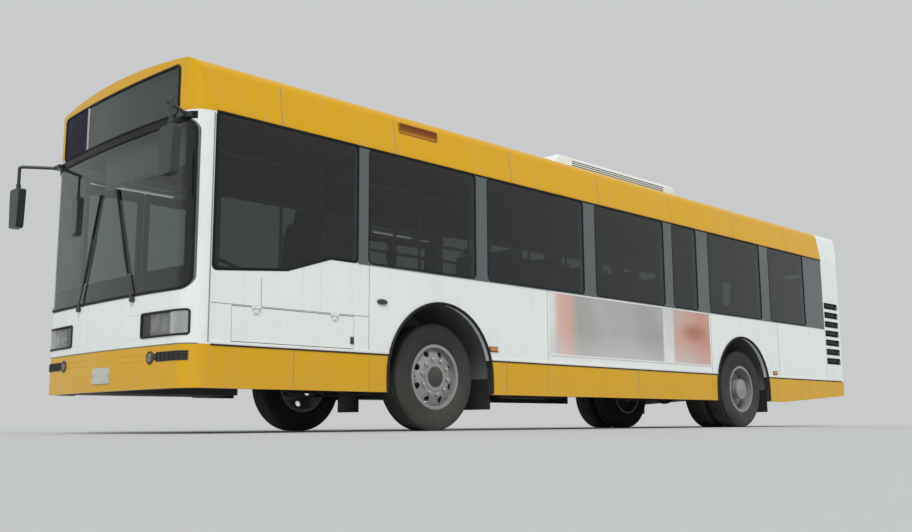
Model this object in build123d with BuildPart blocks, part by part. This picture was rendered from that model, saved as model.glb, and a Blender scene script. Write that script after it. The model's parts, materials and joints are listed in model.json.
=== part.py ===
import math
import os

from build123d import *

os.makedirs("parts", exist_ok=True)

# Axes: +X towards the nose, +Y to the driver's side, +Z up. The origin lies on the
# ground, midway along and across the whole bus with its mirrors.

# Body
body_length = 11500.0
body_width = 2500.0
roof_height = 3000.0
crown_rise = 70.0
eave_rise = 390.0
window_drop = 40.0
skirt_bottom = 342.0
rail_height = 673.0
sill_height = 1465.0
eave_inset = 60.0
eave_radius = 110.0
cant_radius = 400.0
nose_bow = 60.0
tail_bow = 30.0
nose_radius = 180.0
tail_radius = 120.0
wall = 60.0
glass = 6.0
glass_gap = 2.0
glass_lap = 18.0
window_radius = 45.0
nose_seam = 230.0
tail_seam = 170.0

# Running gear
front_overhang = 2720.0
rear_overhang = 3180.0
axle_height = 500.0
tyre_width = 280.0
rim_radius = 286.0
rim_skin = 12.0
disc_skin = 14.0
spindle_radius = 45.0
spindle_reach = 80.0
bearing_gap = 0.1
front_wheel_y = 1030.0
twin_outer_y = 1080.0
twin_pitch = 330.0
kingpin_y = 930.0
kingpin_radius = 24.0
arch_radius = 680.0
housing_radius = 700.0
housing_depth = 690.0
sheet = 12.0
air_gap = 5.0

# Floor, steps and cab
floor_top = 740.0
floor_thickness = 50.0
deck_top = 1100.0
deck_length = 1980.0
bulkhead_distance = 780.0
shelf_height = 1900.0
deck_thickness = 40.0
tread_top = 362.0
step_top = 552.0
step_start = 250.0
step_half = 290.0
well_depth = 745.0
well_side = 60.0
podium_top = 880.0
podium_y = 260.0
podium_length = 1300.0

# Doorways
doorway_width = 1250.0
doorway_drop = 105.0
front_doorway = 330.0
middle_doorway_share = 0.36532
leaf_thickness = 35.0
leaf_gap = 10.0
meeting_gap = 26.0
leaf_offset = 90.0
leaf_frame = 45.0
toe_trail = 30.0
post_setback = 5.0
post_radius = 18.0
post_pin = 12.0
arm_half = 15.0
arm_depth = 14.0
pivot_pin = 8.0
header_gap = 15.0
header_side = 45.0

# Mirrors
mirror_forward = 265.0
mirror_outward = 250.0
mirror_thickness = 70.0
mirror_width = 210.0
mirror_height = 370.0

# Outside hinges
hinge_radius = 10.0
hinge_pin = 5.0
hinge_width = 50.0
hinge_offset = hinge_radius + air_gap
hinge_inset = 220.0

# Places worked out from the sizes above
half = body_width / 2
inner_half = half - wall
eave_height = roof_height - crown_rise
cant_height = eave_height - eave_rise
window_top = cant_height - window_drop
doorway_top = window_top - doorway_drop
nose_x = (body_length + hinge_offset + hinge_radius - mirror_forward) / 2
tail_x = nose_x - body_length
seam_x = nose_x - nose_seam
rear_seam_x = tail_x + tail_seam
side_length = seam_x - rear_seam_x
front_axle_x = nose_x - front_overhang
rear_axle_x = tail_x + rear_overhang
floor_bottom = floor_top - floor_thickness
tyre_radius = axle_height
end_depth = 400.0


def slab(x, y, z, mode=Mode.ADD):
    """Box between a low and a high value along each axis."""
    spans = (x, y, z)
    with Locations(tuple((low + high) / 2 for low, high in spans)):
        Box(*(high - low for low, high in spans), mode=mode)


def side_prism(points, y, mode=Mode.ADD, radius=0.0):
    """Outline seen from the side, drawn out across the bus between two Y values."""
    low, high = y
    with BuildSketch(Plane.XZ.offset(-high)) as outline:
        with BuildLine():
            Polyline(*points, close=True)
        make_face()
        if radius:
            fillet(outline.vertices(), radius)
    extrude(outline.sketch, amount=high - low, mode=mode)


def front_prism(points, x, mode=Mode.ADD, radius=0.0):
    """Outline seen from the front, drawn out along the bus between two X values."""
    low, high = x
    with BuildSketch(Plane.YZ.offset(low)) as outline:
        with BuildLine():
            Polyline(*points, close=True)
        make_face()
        if radius:
            fillet(outline.vertices(), radius)
    extrude(outline.sketch, amount=high - low, mode=mode)


def plan_prism(points, z, mode=Mode.ADD, radius=0.0):
    """Outline seen from above, drawn out upwards between two Z values."""
    low, high = z
    with BuildSketch(Plane.XY.offset(low)) as outline:
        with BuildLine():
            Polyline(*points, close=True)
        make_face()
        if radius:
            fillet(outline.vertices(), radius)
    extrude(outline.sketch, amount=high - low, mode=mode)


def rod(start, end, radius, mode=Mode.ADD):
    """Round bar between two points."""
    run = Vector(*end) - Vector(*start)
    with Locations(Plane(origin=start, z_dir=run)):
        Cylinder(radius, run.length, align=(Align.CENTER, Align.CENTER, Align.MIN), mode=mode)


def rectangle(x, z, lap=0.0):
    """Corners of a rectangle, each side moved out by a lap."""
    return [
        (x[0] - lap, z[0] - lap),
        (x[1] + lap, z[0] - lap),
        (x[1] + lap, z[1] + lap),
        (x[0] - lap, z[1] + lap),
    ]


def save(name, piece):
    """Label a finished piece and write it as its own file."""
    piece.part.label = name
    export_step(piece.part, f"parts/{name}.step")


def bowed_end(reach, bow, inset):
    """Side end and middle of a bowed end, as distances from the body's middle line."""
    radius = (half**2 + bow**2) / (2 * bow)
    side = half - inset
    return reach - radius + math.sqrt((radius - inset) ** 2 - side**2), reach - inset


def roof_corners(inset):
    """Cant and eave corners of the cross-section moved in by an inset."""
    rise = eave_height - cant_height
    slope = math.hypot(eave_inset, rise)
    along = (-eave_inset / slope, rise / slope)
    cant = (half - inset, cant_height + inset * along[0] / (1 + along[1]))
    eave_y = half - eave_inset
    crown = roof_height - eave_height
    radius = (eave_y**2 + crown**2) / (2 * crown)
    centre = roof_height - radius
    middle = cant[0] * along[0] + (cant[1] - centre) * along[1]
    beyond = cant[0] ** 2 + (cant[1] - centre) ** 2 - (radius - inset) ** 2
    run = math.sqrt(middle**2 - beyond) - middle
    return cant, (cant[0] + run * along[0], cant[1] + run * along[1])


def body_form(inset, base):
    """Solid inside the body's outer skin moved in by an inset, from a base height up."""
    side = half - inset
    nose_side, nose = bowed_end(nose_x, nose_bow, inset)
    tail_side, tail = bowed_end(-tail_x, tail_bow, inset)
    cant, eave = roof_corners(inset)
    with BuildPart() as form:
        with BuildSketch(Plane.XY.offset(base)) as plan:
            with BuildLine():
                ThreePointArc((nose_side, -side), (nose, 0), (nose_side, side))
                Line((nose_side, side), (-tail_side, side))
                ThreePointArc((-tail_side, side), (-tail, 0), (-tail_side, -side))
                Line((-tail_side, -side), (nose_side, -side))
            make_face()
            fillet(plan.vertices().group_by(Axis.X)[-1], nose_radius - inset)
            fillet(plan.vertices().group_by(Axis.X)[0], tail_radius - inset)
        extrude(amount=roof_height - base, dir=(0, 0, 1))
        with BuildSketch(Plane.YZ.offset(tail_x)) as section:
            with BuildLine():
                Polyline((-eave[0], eave[1]), (-cant[0], cant[1]), (-side, base - wall))
                Line((-side, base - wall), (side, base - wall))
                Polyline((side, base - wall), (cant[0], cant[1]), (eave[0], eave[1]))
                ThreePointArc((eave[0], eave[1]), (0, roof_height - inset), (-eave[0], eave[1]))
            make_face()
            fillet(section.vertices().group_by(Axis.X)[0].sort_by(Axis.Y)[-1], cant_radius - inset)
            fillet(section.vertices().group_by(Axis.X)[-1].sort_by(Axis.Y)[-1], cant_radius - inset)
            fillet(section.vertices().sort_by(Axis.Y)[-2:], eave_radius - inset)
        extrude(amount=body_length, dir=(1, 0, 0), mode=Mode.INTERSECT)
    return form.part


outer = body_form(0.0, skirt_bottom)
behind_glass = body_form(glass, skirt_bottom - wall)
cavity = body_form(wall, skirt_bottom - 2 * wall)

with BuildPart() as whole_shell:
    add(outer)
    add(cavity, mode=Mode.SUBTRACT)
shell = whole_shell.part

with BuildPart() as whole_skin:
    add(outer)
    add(behind_glass, mode=Mode.SUBTRACT)
skin = whole_skin.part

# Side windows, as the place of the front and rear edge along the side, in shares of it
side_windows = (
    (0.14243, 0.26550),
    (0.28108, 0.42117),
    (0.44090, 0.56486),
    (0.58270, 0.63225),
    (0.65829, 0.78036),
    (0.80342, 0.89928),
)
middle_window = side_windows[1]
cab_window = (30.0, 0.13108 * side_length)
cab_window_low = 1255.0
cab_window_step = 1320.0
cab_ramp = (0.06495 * side_length, 0.10477 * side_length)


def window_outline(row, lap=0.0):
    """Corners of a side window, each side moved out by a lap."""
    edges = (seam_x - row[1] * side_length, seam_x - row[0] * side_length)
    return rectangle(edges, (sill_height, window_top), lap)


def cab_outline(lap=0.0):
    """Corners of the driver's window, whose sill drops towards the nose."""
    return [
        (seam_x - cab_window[1] - lap, window_top + lap),
        (seam_x - cab_window[0] + lap, window_top + lap),
        (seam_x - cab_window[0] + lap, cab_window_low - lap),
        (seam_x - cab_ramp[0], cab_window_step - lap),
        (seam_x - cab_ramp[1], sill_height - lap),
        (seam_x - cab_window[1] - lap, sill_height - lap),
    ]


left_outlines = [lambda lap, row=row: window_outline(row, lap) for row in side_windows]
left_outlines.append(cab_outline)
right_outlines = [
    lambda lap, row=row: window_outline(row, lap) for row in side_windows if row is not middle_window
]


def cut_windows(outlines, side):
    """Window openings with a rebate for the glass, in the wall on one side."""
    inside = sorted((side * (inner_half - 1), side * (half + 1)))
    rebate = sorted((side * (half - glass), side * (half + 1)))
    for outline in outlines:
        side_prism(outline(0.0), inside, Mode.SUBTRACT, window_radius)
        side_prism(outline(glass_lap), rebate, Mode.SUBTRACT, window_radius)


# Wheel arches are round at the top and run straight down below the axle
def cut_arches(y):
    """Arch openings over both axles between two Y values."""
    for axle_x in (front_axle_x, rear_axle_x):
        rod((axle_x, y[0], axle_height), (axle_x, y[1], axle_height), arch_radius, Mode.SUBTRACT)
        slab((axle_x - arch_radius, axle_x + arch_radius), y, (0, axle_height), Mode.SUBTRACT)


doorway_centres = (
    nose_x - front_doorway - doorway_width / 2,
    seam_x - middle_doorway_share * side_length,
)
doorways = tuple(
    (centre - doorway_width / 2, centre + doorway_width / 2) for centre in doorway_centres
)


# A hinge has a barrel on the lid, and a pin with a lug at each end on the fixed side
def barrel(axis_point, direction, arm):
    """Barrel of a hinge on a lid, with the arm that joins it to the lid."""
    centre = Vector(*axis_point)
    along = Vector(*direction)
    reach = hinge_width / 2 - air_gap
    ends = (centre - along * reach, centre + along * reach)
    slab(*arm)
    rod(tuple(ends[0]), tuple(ends[1]), hinge_radius)
    rod(tuple(ends[0]), tuple(ends[1]), hinge_pin + bearing_gap, Mode.SUBTRACT)


def pin_and_lugs(axis_point, direction, lugs):
    """Pin of a hinge with the lugs that carry its ends."""
    centre = Vector(*axis_point)
    along = Vector(*direction)
    for lug in lugs:
        slab(*lug)
    for side in (-1, 1):
        inner = centre + along * (side * hinge_width / 2)
        outer_end = centre + along * (side * (hinge_width / 2 + sheet))
        rod(tuple(inner), tuple(outer_end), hinge_radius)
    reach = hinge_width / 2 + sheet
    rod(tuple(centre - along * reach), tuple(centre + along * reach), hinge_pin)


# Service flap under the driver's window, in a shallow recess
flap_front = 200.0
flap_length = 1225.0
flap_bottom = 700.0
flap_top = 985.0
flap_thickness = 25.0
flap_recess = 35.0
flap_gap = 6.0
flap_x = (seam_x - flap_front - flap_length, seam_x - flap_front)
flap_hinge_x = (flap_x[0] + hinge_inset, flap_x[1] - hinge_inset)
flap_axis_z = flap_top - flap_gap

# Air inlet slots at the driver's side rear corner
louvre_count = 7
louvre_low = 930.0
louvre_pitch = 140.0
louvre_height = 85.0
louvre_setback = 200.0
louvre_length = 440.0
louvre_x = (tail_x + louvre_setback, tail_x + louvre_setback + louvre_length)

with BuildPart() as left_wall:
    add(shell)
    slab((rear_seam_x, seam_x), (0, half), (rail_height, cant_height), Mode.INTERSECT)
    cut_windows(left_outlines, 1)
    cut_arches((inner_half - 1, half + 1))
    slab(flap_x, (half - flap_recess, half + 1), (flap_bottom, flap_top), Mode.SUBTRACT)
    for slot in range(louvre_count):
        base = louvre_low + slot * louvre_pitch
        slab(louvre_x, (inner_half - 1, half + 1), (base, base + louvre_height), Mode.SUBTRACT)
    for slot in range(louvre_count):
        base = louvre_low + slot * louvre_pitch
        front_prism(
            [
                (inner_half + sheet, base + louvre_height - sheet),
                (inner_half + sheet, base + louvre_height - sheet * 2),
                (half - sheet, base + sheet),
                (half - sheet, base + sheet * 2),
            ],
            louvre_x,
        )
    for x in flap_hinge_x:
        lugs = [
            (
                sorted((x + side * hinge_width / 2, x + side * (hinge_width / 2 + sheet))),
                (half - glass, half + hinge_offset),
                (flap_top, flap_axis_z + 3 * hinge_radius),
            )
            for side in (-1, 1)
        ]
        pin_and_lugs((x, half + hinge_offset, flap_axis_z), (1, 0, 0), lugs)
save("left_wall", left_wall)

# Over each doorway a box holds the upper bearings of the door posts. The corner post ahead
# of the front doorway is a pressing of its own
header_depth = 150.0
header_thickness = 60.0
bore_rise = 100.0
pin_rise = 60.0
panel_seam = 2.0
corner_x = doorways[0][1]
post_y = -half + leaf_thickness / 2 + leaf_offset

with BuildPart() as right_wall:
    add(shell)
    slab((rear_seam_x, seam_x), (-half, 0), (rail_height, cant_height), Mode.INTERSECT)
    cut_windows(right_outlines, -1)
    cut_arches((-half - 1, -inner_half + 1))
    for doorway in doorways:
        slab(doorway, (-half - 1, -inner_half + 1), (0, doorway_top), Mode.SUBTRACT)
    for doorway in doorways:
        slab(
            (doorway[0] - header_side, doorway[1] + header_side),
            (-inner_half, -inner_half + header_depth),
            (doorway_top + header_gap, doorway_top + header_gap + header_thickness),
        )
        for post_x in (doorway[0] - post_setback, doorway[1] + post_setback):
            rod(
                (post_x, post_y, doorway_top),
                (post_x, post_y, doorway_top + bore_rise),
                post_pin + bearing_gap,
                Mode.SUBTRACT,
            )
    slab((corner_x - panel_seam, corner_x), (-half, -inner_half), (rail_height, cant_height), Mode.SUBTRACT)
    slab(
        (corner_x, corner_x + header_side + panel_seam),
        (-inner_half - panel_seam, -inner_half),
        (doorway_top, cant_height),
        Mode.SUBTRACT,
    )
save("right_wall", right_wall)

# Lower side panels, from the rail down, with the lower edge rising at the rear
rear_rise_start = 1150.0
rear_rise = 120.0

with BuildPart() as skirt_panels:
    add(shell)
    slab((rear_seam_x, seam_x), (-half, half), (skirt_bottom, rail_height), Mode.INTERSECT)
    cut_arches((-half - 1, half + 1))
    for doorway in doorways:
        slab(doorway, (-half - 1, -inner_half + 1), (0, doorway_top), Mode.SUBTRACT)
    side_prism(
        [
            (tail_x, skirt_bottom + rear_rise),
            (tail_x, 0),
            (rear_axle_x - rear_rise_start, 0),
            (rear_axle_x - rear_rise_start, skirt_bottom),
        ],
        (-half - 1, half + 1),
        Mode.SUBTRACT,
    )
save("skirt_panels", skirt_panels)

# Bumpers close the lower band at both ends
fog_slot = (300.0, 1000.0)
fog_slot_z = (560.0, 610.0)
fog_lamp_width = 110.0

with BuildPart() as bumpers:
    add(shell)
    slab((rear_seam_x, seam_x), (-half, half), (0, roof_height), Mode.SUBTRACT)
    slab((tail_x, nose_x), (-half, half), (skirt_bottom, rail_height), Mode.INTERSECT)
    side_prism(
        [
            (tail_x, skirt_bottom + rear_rise),
            (tail_x, 0),
            (rear_axle_x - rear_rise_start, 0),
            (rear_axle_x - rear_rise_start, skirt_bottom),
        ],
        (-half - 1, half + 1),
        Mode.SUBTRACT,
    )
    for side in (-1, 1):
        span = sorted((side * fog_slot[0], side * fog_slot[1]))
        slab((nose_x - end_depth, nose_x), span, fog_slot_z, Mode.SUBTRACT)
save("bumpers", bumpers)

# Front panel with windscreen, sign and headlamp openings
screen_half = 1205.0
screen_bottom = 1100.0
screen_drop = 120.0
screen_z = (screen_bottom, cant_height - screen_drop)
screen_radius = 90.0
sign_half = 1020.0
sign_drop = 50.0
sign_margin = 40.0
sign_z = (cant_height - sign_drop, eave_height - sign_margin)
sign_radius = 40.0
lamp_span = (360.0, 1030.0)
lamp_z = (745.0, 930.0)
lamp_skin = 55.0


def front_region(half_width, z, lap, radius, mode):
    """Rounded region of the front face."""
    outline = rectangle((-half_width, half_width), z, lap)
    front_prism(outline, (nose_x - end_depth, nose_x + 1), mode, radius + lap)


def rebated_opening(half_width, z, radius, make_region):
    """Opening through a curved end of the body with a rebate that follows its skin."""
    with BuildPart() as rebate:
        add(skin)
        make_region(half_width, z, glass_lap, radius, Mode.INTERSECT)
    add(rebate.part, mode=Mode.SUBTRACT)
    make_region(half_width, z, 0.0, radius, Mode.SUBTRACT)


def rear_region(half_width, z, lap, radius, mode):
    """Rounded region of the rear face."""
    outline = rectangle((-half_width, half_width), z, lap)
    front_prism(outline, (tail_x - 1, tail_x + end_depth), mode, radius + lap)


with BuildPart() as front_panel:
    add(shell)
    slab((seam_x, nose_x), (-half, half), (rail_height, roof_height), Mode.INTERSECT)
    rebated_opening(screen_half, screen_z, screen_radius, front_region)
    rebated_opening(sign_half, sign_z, sign_radius, front_region)
    for side in (-1, 1):
        span = sorted((side * lamp_span[0], side * lamp_span[1]))
        slab((nose_x - end_depth, nose_x), span, lamp_z, Mode.SUBTRACT)
save("front_panel", front_panel)

# Rear panel with the rear window and the engine opening
rear_window_half = 820.0
rear_window_drop = 100.0
rear_window_z = (2000.0, cant_height - rear_window_drop)
hatch_half = 850.0
hatch_z = (735.0, 1840.0)
hatch_gap = 6.0
hatch_hinge_y = (-500.0, 500.0)
hatch_axis = (tail_x - hinge_offset, hatch_z[1] - hatch_gap)
tail_lamp_y = (900.0, 1060.0)
upper_lamp_drop = 290.0
upper_lamp_height = 80.0
upper_lamp_low = cant_height - upper_lamp_drop
tail_lamps = ((760.0, 1180.0), (upper_lamp_low, upper_lamp_low + upper_lamp_height))

with BuildPart() as rear_panel:
    add(shell)
    slab((tail_x, rear_seam_x), (-half, half), (rail_height, roof_height), Mode.INTERSECT)
    rebated_opening(rear_window_half, rear_window_z, window_radius, rear_region)
    slab((tail_x - 1, tail_x + end_depth), (-hatch_half, hatch_half), hatch_z, Mode.SUBTRACT)
    for side in (-1, 1):
        span = sorted((side * tail_lamp_y[0], side * tail_lamp_y[1]))
        for lamp in tail_lamps:
            slab((tail_x - 1, tail_x + end_depth), span, lamp, Mode.SUBTRACT)
    for y in hatch_hinge_y:
        lugs = [
            (
                (hatch_axis[0], tail_x + wall / 2),
                sorted((y + side * hinge_width / 2, y + side * (hinge_width / 2 + sheet))),
                (hatch_z[1], hatch_axis[1] + 3 * hinge_radius),
            )
            for side in (-1, 1)
        ]
        pin_and_lugs((hatch_axis[0], y, hatch_axis[1]), (0, 1, 0), lugs)
save("rear_panel", rear_panel)

# Engine hatch, hinged along its upper edge
with BuildPart() as engine_hatch:
    add(shell)
    slab(
        (tail_x, tail_x + end_depth),
        (-hatch_half + hatch_gap, hatch_half - hatch_gap),
        (hatch_z[0] + hatch_gap, hatch_z[1] - hatch_gap),
        Mode.INTERSECT,
    )
    for y in hatch_hinge_y:
        arm = (
            (hatch_axis[0], tail_x + wall / 2),
            (y - hinge_width / 2 + air_gap, y + hinge_width / 2 - air_gap),
            (hatch_axis[1] - 4 * hinge_radius, hatch_axis[1]),
        )
        barrel((hatch_axis[0], y, hatch_axis[1]), (0, 1, 0), arm)
save("engine_hatch", engine_hatch)

# Service flap, hinged along its upper edge
with BuildPart() as service_flap:
    slab(
        (flap_x[0] + flap_gap, flap_x[1] - flap_gap),
        (half - flap_thickness, half),
        (flap_bottom + flap_gap, flap_axis_z),
    )
    for x in flap_hinge_x:
        arm = (
            (x - hinge_width / 2 + air_gap, x + hinge_width / 2 - air_gap),
            (half - glass, half + hinge_offset),
            (flap_axis_z - 4 * hinge_radius, flap_axis_z),
        )
        barrel((x, half + hinge_offset, flap_axis_z), (1, 0, 0), arm)
save("service_flap", service_flap)

# Roof with two hatch openings and their raised collars
hatch_opening = 600.0
collar = 40.0
collar_top = roof_height + 20.0
lid_thickness = 40.0
lid_overhang = 20.0
lid_gap = hinge_offset + 1.0
lid_z = (collar_top + air_gap, collar_top + air_gap + lid_thickness)
lid_reach = hatch_opening / 2 + collar + lid_overhang
lid_hinge_y = (-200.0, 200.0)
lid_axis_z = lid_z[0] + hinge_radius
roof_hatches = ((seam_x - 0.2072 * side_length, "front"), (seam_x - 0.8108 * side_length, "rear"))

with BuildPart() as roof:
    add(shell)
    slab((rear_seam_x, seam_x), (-half, half), (cant_height, roof_height), Mode.INTERSECT)
    for centre_x, _ in roof_hatches:
        reach = hatch_opening / 2 + collar
        slab((centre_x - reach, centre_x + reach), (-reach, reach), (roof_height - wall, collar_top))
        reach = hatch_opening / 2
        slab(
            (centre_x - reach, centre_x + reach),
            (-reach, reach),
            (eave_height - wall, collar_top),
            Mode.SUBTRACT,
        )
        axis_x = centre_x - lid_reach - lid_gap
        for y in lid_hinge_y:
            lugs = [
                (
                    (axis_x - hinge_radius, axis_x + hinge_radius),
                    sorted((y + side * hinge_width / 2, y + side * (hinge_width / 2 + sheet))),
                    (roof_height - wall / 2, lid_axis_z),
                )
                for side in (-1, 1)
            ]
            pin_and_lugs((axis_x, y, lid_axis_z), (0, 1, 0), lugs)
save("roof", roof)

for centre_x, place in roof_hatches:
    with BuildPart() as lid:
        slab((centre_x - lid_reach, centre_x + lid_reach), (-lid_reach, lid_reach), lid_z)
        fillet(lid.edges().filter_by(Axis.Z), collar)
        chamfer(lid.faces().sort_by(Axis.Z)[-1].edges(), lid_thickness / 3)
        axis_x = centre_x - lid_reach - lid_gap
        for y in lid_hinge_y:
            arm = (
                (axis_x, centre_x - lid_reach + lid_gap),
                (y - hinge_width / 2 + air_gap, y + hinge_width / 2 - air_gap),
                (lid_z[0], lid_z[0] + 2 * hinge_radius),
            )
            barrel((axis_x, y, lid_axis_z), (0, 1, 0), arm)
    save(f"{place}_roof_hatch", lid)

# Low cooling unit on the roof
unit_x = (seam_x - 0.65766 * side_length, seam_x - 0.4009 * side_length)
unit_half = 640.0
unit_height = 160.0
unit_slope = 260.0

with BuildPart() as roof_unit:
    side_prism(
        [
            (unit_x[0], eave_height),
            (unit_x[1], eave_height),
            (unit_x[1], roof_height),
            (unit_x[1] - unit_slope, roof_height + unit_height),
            (unit_x[0] + unit_slope, roof_height + unit_height),
            (unit_x[0], roof_height),
        ],
        (-unit_half, unit_half),
    )
    add(outer, mode=Mode.SUBTRACT)
    fillet(roof_unit.faces().sort_by(Axis.Z)[-1].edges(), 50)
save("roof_unit", roof_unit)

# Glazing: windscreen and sign glass in one node, side and rear panes in another
with BuildPart() as windscreen:
    for half_width, z, radius in (
        (screen_half, screen_z, screen_radius),
        (sign_half, sign_z, sign_radius),
    ):
        with BuildPart() as pane:
            add(skin)
            front_region(half_width, z, glass_lap - glass_gap, radius, Mode.INTERSECT)
        add(pane.part)
save("windscreen", windscreen)

with BuildPart() as body_windows:
    for outlines, side in ((left_outlines, 1), (right_outlines, -1)):
        for outline in outlines:
            side_prism(
                outline(glass_lap - glass_gap),
                sorted((side * (half - glass), side * half)),
                radius=window_radius,
            )
    with BuildPart() as pane:
        add(skin)
        rear_region(rear_window_half, rear_window_z, glass_lap - glass_gap, window_radius, Mode.INTERSECT)
    add(pane.part)
save("body_windows", body_windows)

# Lamps fill their openings and stand a little behind the skin
with BuildPart() as lamp_layer:
    add(body_form(glass, skirt_bottom - wall))
    add(body_form(lamp_skin, skirt_bottom - 2 * wall), mode=Mode.SUBTRACT)

with BuildPart() as front_lamps:
    for side in (-1, 1):
        for span, z in (
            (lamp_span, lamp_z),
            ((fog_slot[0], fog_slot[0] + fog_lamp_width), fog_slot_z),
        ):
            with BuildPart() as lamp:
                add(lamp_layer.part)
                y = sorted((side * span[0], side * span[1]))
                slab((nose_x - end_depth, nose_x), y, z, Mode.INTERSECT)
            add(lamp.part)
save("front_lamps", front_lamps)

with BuildPart() as rear_lamps:
    for side in (-1, 1):
        for z in tail_lamps:
            with BuildPart() as lamp:
                add(lamp_layer.part)
                y = sorted((side * tail_lamp_y[0], side * tail_lamp_y[1]))
                slab((tail_x, tail_x + end_depth), y, z, Mode.INTERSECT)
            add(lamp.part)
save("rear_lamps", rear_lamps)

# Engine deck behind the rear axle, with the bulkhead and the shelf over the engine
housing_outer = housing_radius + sheet
bay_x = tail_x + deck_length
bulkhead_x = tail_x + bulkhead_distance

with BuildPart() as rear_deck:
    side_prism(
        [
            (bay_x, floor_bottom),
            (bay_x + deck_thickness, floor_bottom),
            (bay_x + deck_thickness, deck_top),
            (bulkhead_x + deck_thickness, deck_top),
            (bulkhead_x + deck_thickness, shelf_height + deck_thickness),
            (tail_x, shelf_height + deck_thickness),
            (tail_x, shelf_height),
            (bulkhead_x, shelf_height),
            (bulkhead_x, deck_top - deck_thickness),
            (bay_x, deck_top - deck_thickness),
        ],
        (-inner_half, inner_half),
    )
    add(cavity, mode=Mode.INTERSECT)
save("rear_deck", rear_deck)

# Places that the floor boards, the wheel housings and the step wells share
front_well, middle_well = (
    (doorway[0] - well_side, doorway[1] + well_side) for doorway in doorways
)
well_y = (-inner_half, -half + well_depth)
arch_inner = inner_half - housing_depth
arch_reach = math.sqrt(housing_outer**2 - (floor_top - axle_height) ** 2) - air_gap
front_arch, rear_arch = (
    (axle_x - arch_reach, axle_x + arch_reach) for axle_x in (front_axle_x, rear_axle_x)
)
board_gap = 1.0

# Floor boards as rear edge, front edge, right edge and left edge
floor_boards = (
    (front_well[1], nose_x, -inner_half, inner_half),
    (front_well[0], front_well[1], well_y[1], inner_half),
    (front_arch[1], front_well[0], -inner_half, inner_half),
    (front_arch[0], front_arch[1], -arch_inner, arch_inner),
    (middle_well[1], front_arch[0], -inner_half, inner_half),
    (middle_well[0], middle_well[1], well_y[1], inner_half),
    (rear_arch[1], middle_well[0], -inner_half, inner_half),
    (rear_arch[0], rear_arch[1], -arch_inner, arch_inner),
    (bay_x + deck_thickness, rear_arch[0], -inner_half, inner_half),
)

with BuildPart() as floor:
    for rear, front, right, left in floor_boards:
        slab((rear, front - board_gap), (right, left), (floor_bottom, floor_top))
    add(cavity, mode=Mode.INTERSECT)
    for axle_x in (front_axle_x, rear_axle_x):
        for side in (-1, 1):
            inner = (axle_x, side * arch_inner, axle_height)
            rod(inner, (axle_x, side * half, axle_height), housing_outer, Mode.SUBTRACT)
save("floor", floor)

# Wheel housings, round over the wheels and closed towards the middle above the floor
with BuildPart() as wheel_housings:
    for axle_x in (front_axle_x, rear_axle_x):
        for side in (-1, 1):
            plate_y = side * arch_inner
            inner_y = side * (arch_inner + sheet)
            outer_y = side * inner_half
            rod((axle_x, plate_y, axle_height), (axle_x, outer_y, axle_height), housing_outer)
            rod(
                (axle_x, inner_y, axle_height),
                (axle_x, outer_y, axle_height),
                housing_radius,
                Mode.SUBTRACT,
            )
            x = (axle_x - housing_outer, axle_x + housing_outer)
            slab(x, sorted((plate_y, outer_y)), (axle_height - housing_outer, axle_height), Mode.SUBTRACT)
            slab(x, sorted((plate_y, inner_y)), (axle_height, floor_bottom), Mode.SUBTRACT)
save("wheel_housings", wheel_housings)

# Entrance wells with one step each, and the sill under the door leaves
with BuildPart() as entrance_steps:
    for doorway, centre_x, well_x in zip(doorways, doorway_centres, (front_well, middle_well)):
        slab(well_x, well_y, (tread_top - sheet, floor_top))
        slab(doorway, (-half + air_gap, -inner_half), (tread_top - sheet, tread_top))
        slab(
            (well_x[0] + sheet, well_x[1] - sheet),
            (-inner_half, well_y[1] - sheet),
            (tread_top, floor_top),
            Mode.SUBTRACT,
        )
        slab(
            (centre_x - step_half, centre_x + step_half),
            (-half + step_start, well_y[1] - sheet),
            (tread_top, step_top),
        )
        for post_x in (doorway[0] - post_setback, doorway[1] + post_setback):
            rod((post_x, post_y, 0), (post_x, post_y, tread_top), post_pin + bearing_gap, Mode.SUBTRACT)
save("entrance_steps", entrance_steps)

# Hollow podium under the driver's place
podium_x = (seam_x - podium_length, seam_x)
with BuildPart() as cab_podium:
    slab(podium_x, (podium_y, inner_half), (floor_top, podium_top))
    slab(
        (podium_x[0] + sheet, podium_x[1] - sheet),
        (podium_y + sheet, inner_half - sheet),
        (floor_top, podium_top - sheet),
        Mode.SUBTRACT,
    )
save("cab_podium", cab_podium)

# Two long frame rails with jacking pads under them and a towing bore at the front
rail_y = (350.0, 430.0)
rail_bottom = 580.0
rail_front = 150.0
rail_rear = 350.0
tow_setback = 60.0
tow_radius = 20.0
pad_half = 60.0
pad_x = (
    (front_arch[1] + front_well[0]) / 2 + tow_setback,
    rear_arch[0] - housing_outer / 2,
)

with BuildPart() as underframe:
    for side in (-1, 1):
        y = sorted((side * rail_y[0], side * rail_y[1]))
        slab((tail_x + rail_rear, nose_x - rail_front), y, (rail_bottom, floor_bottom))
        for x in pad_x:
            slab((x - pad_half, x + pad_half), y, (rail_bottom - sheet, rail_bottom))
        bore_x = nose_x - rail_front - tow_setback
        bore_y = (y[0] + y[1]) / 2
        rod((bore_x, bore_y, rail_bottom), (bore_x, bore_y, floor_bottom), tow_radius, Mode.SUBTRACT)
save("underframe", underframe)

# Cross members between the rails and outriggers beside them
cross_depth = 50.0
cross_width = 60.0
rail_stub = rail_y[1] + 50.0
nose_member = 40.0
nose_member_inset = 90.0
arch_member = 130.0
bay_margin = (160.0, 172.0)
bay_start = middle_well[0] - bay_margin[0]
bay_end = rear_arch[1] + bay_margin[1]
bay_step = (bay_start - bay_end) / 3
tunnel_member = 200.0
deck_member = 90.0
tail_member = 380.0
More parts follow.
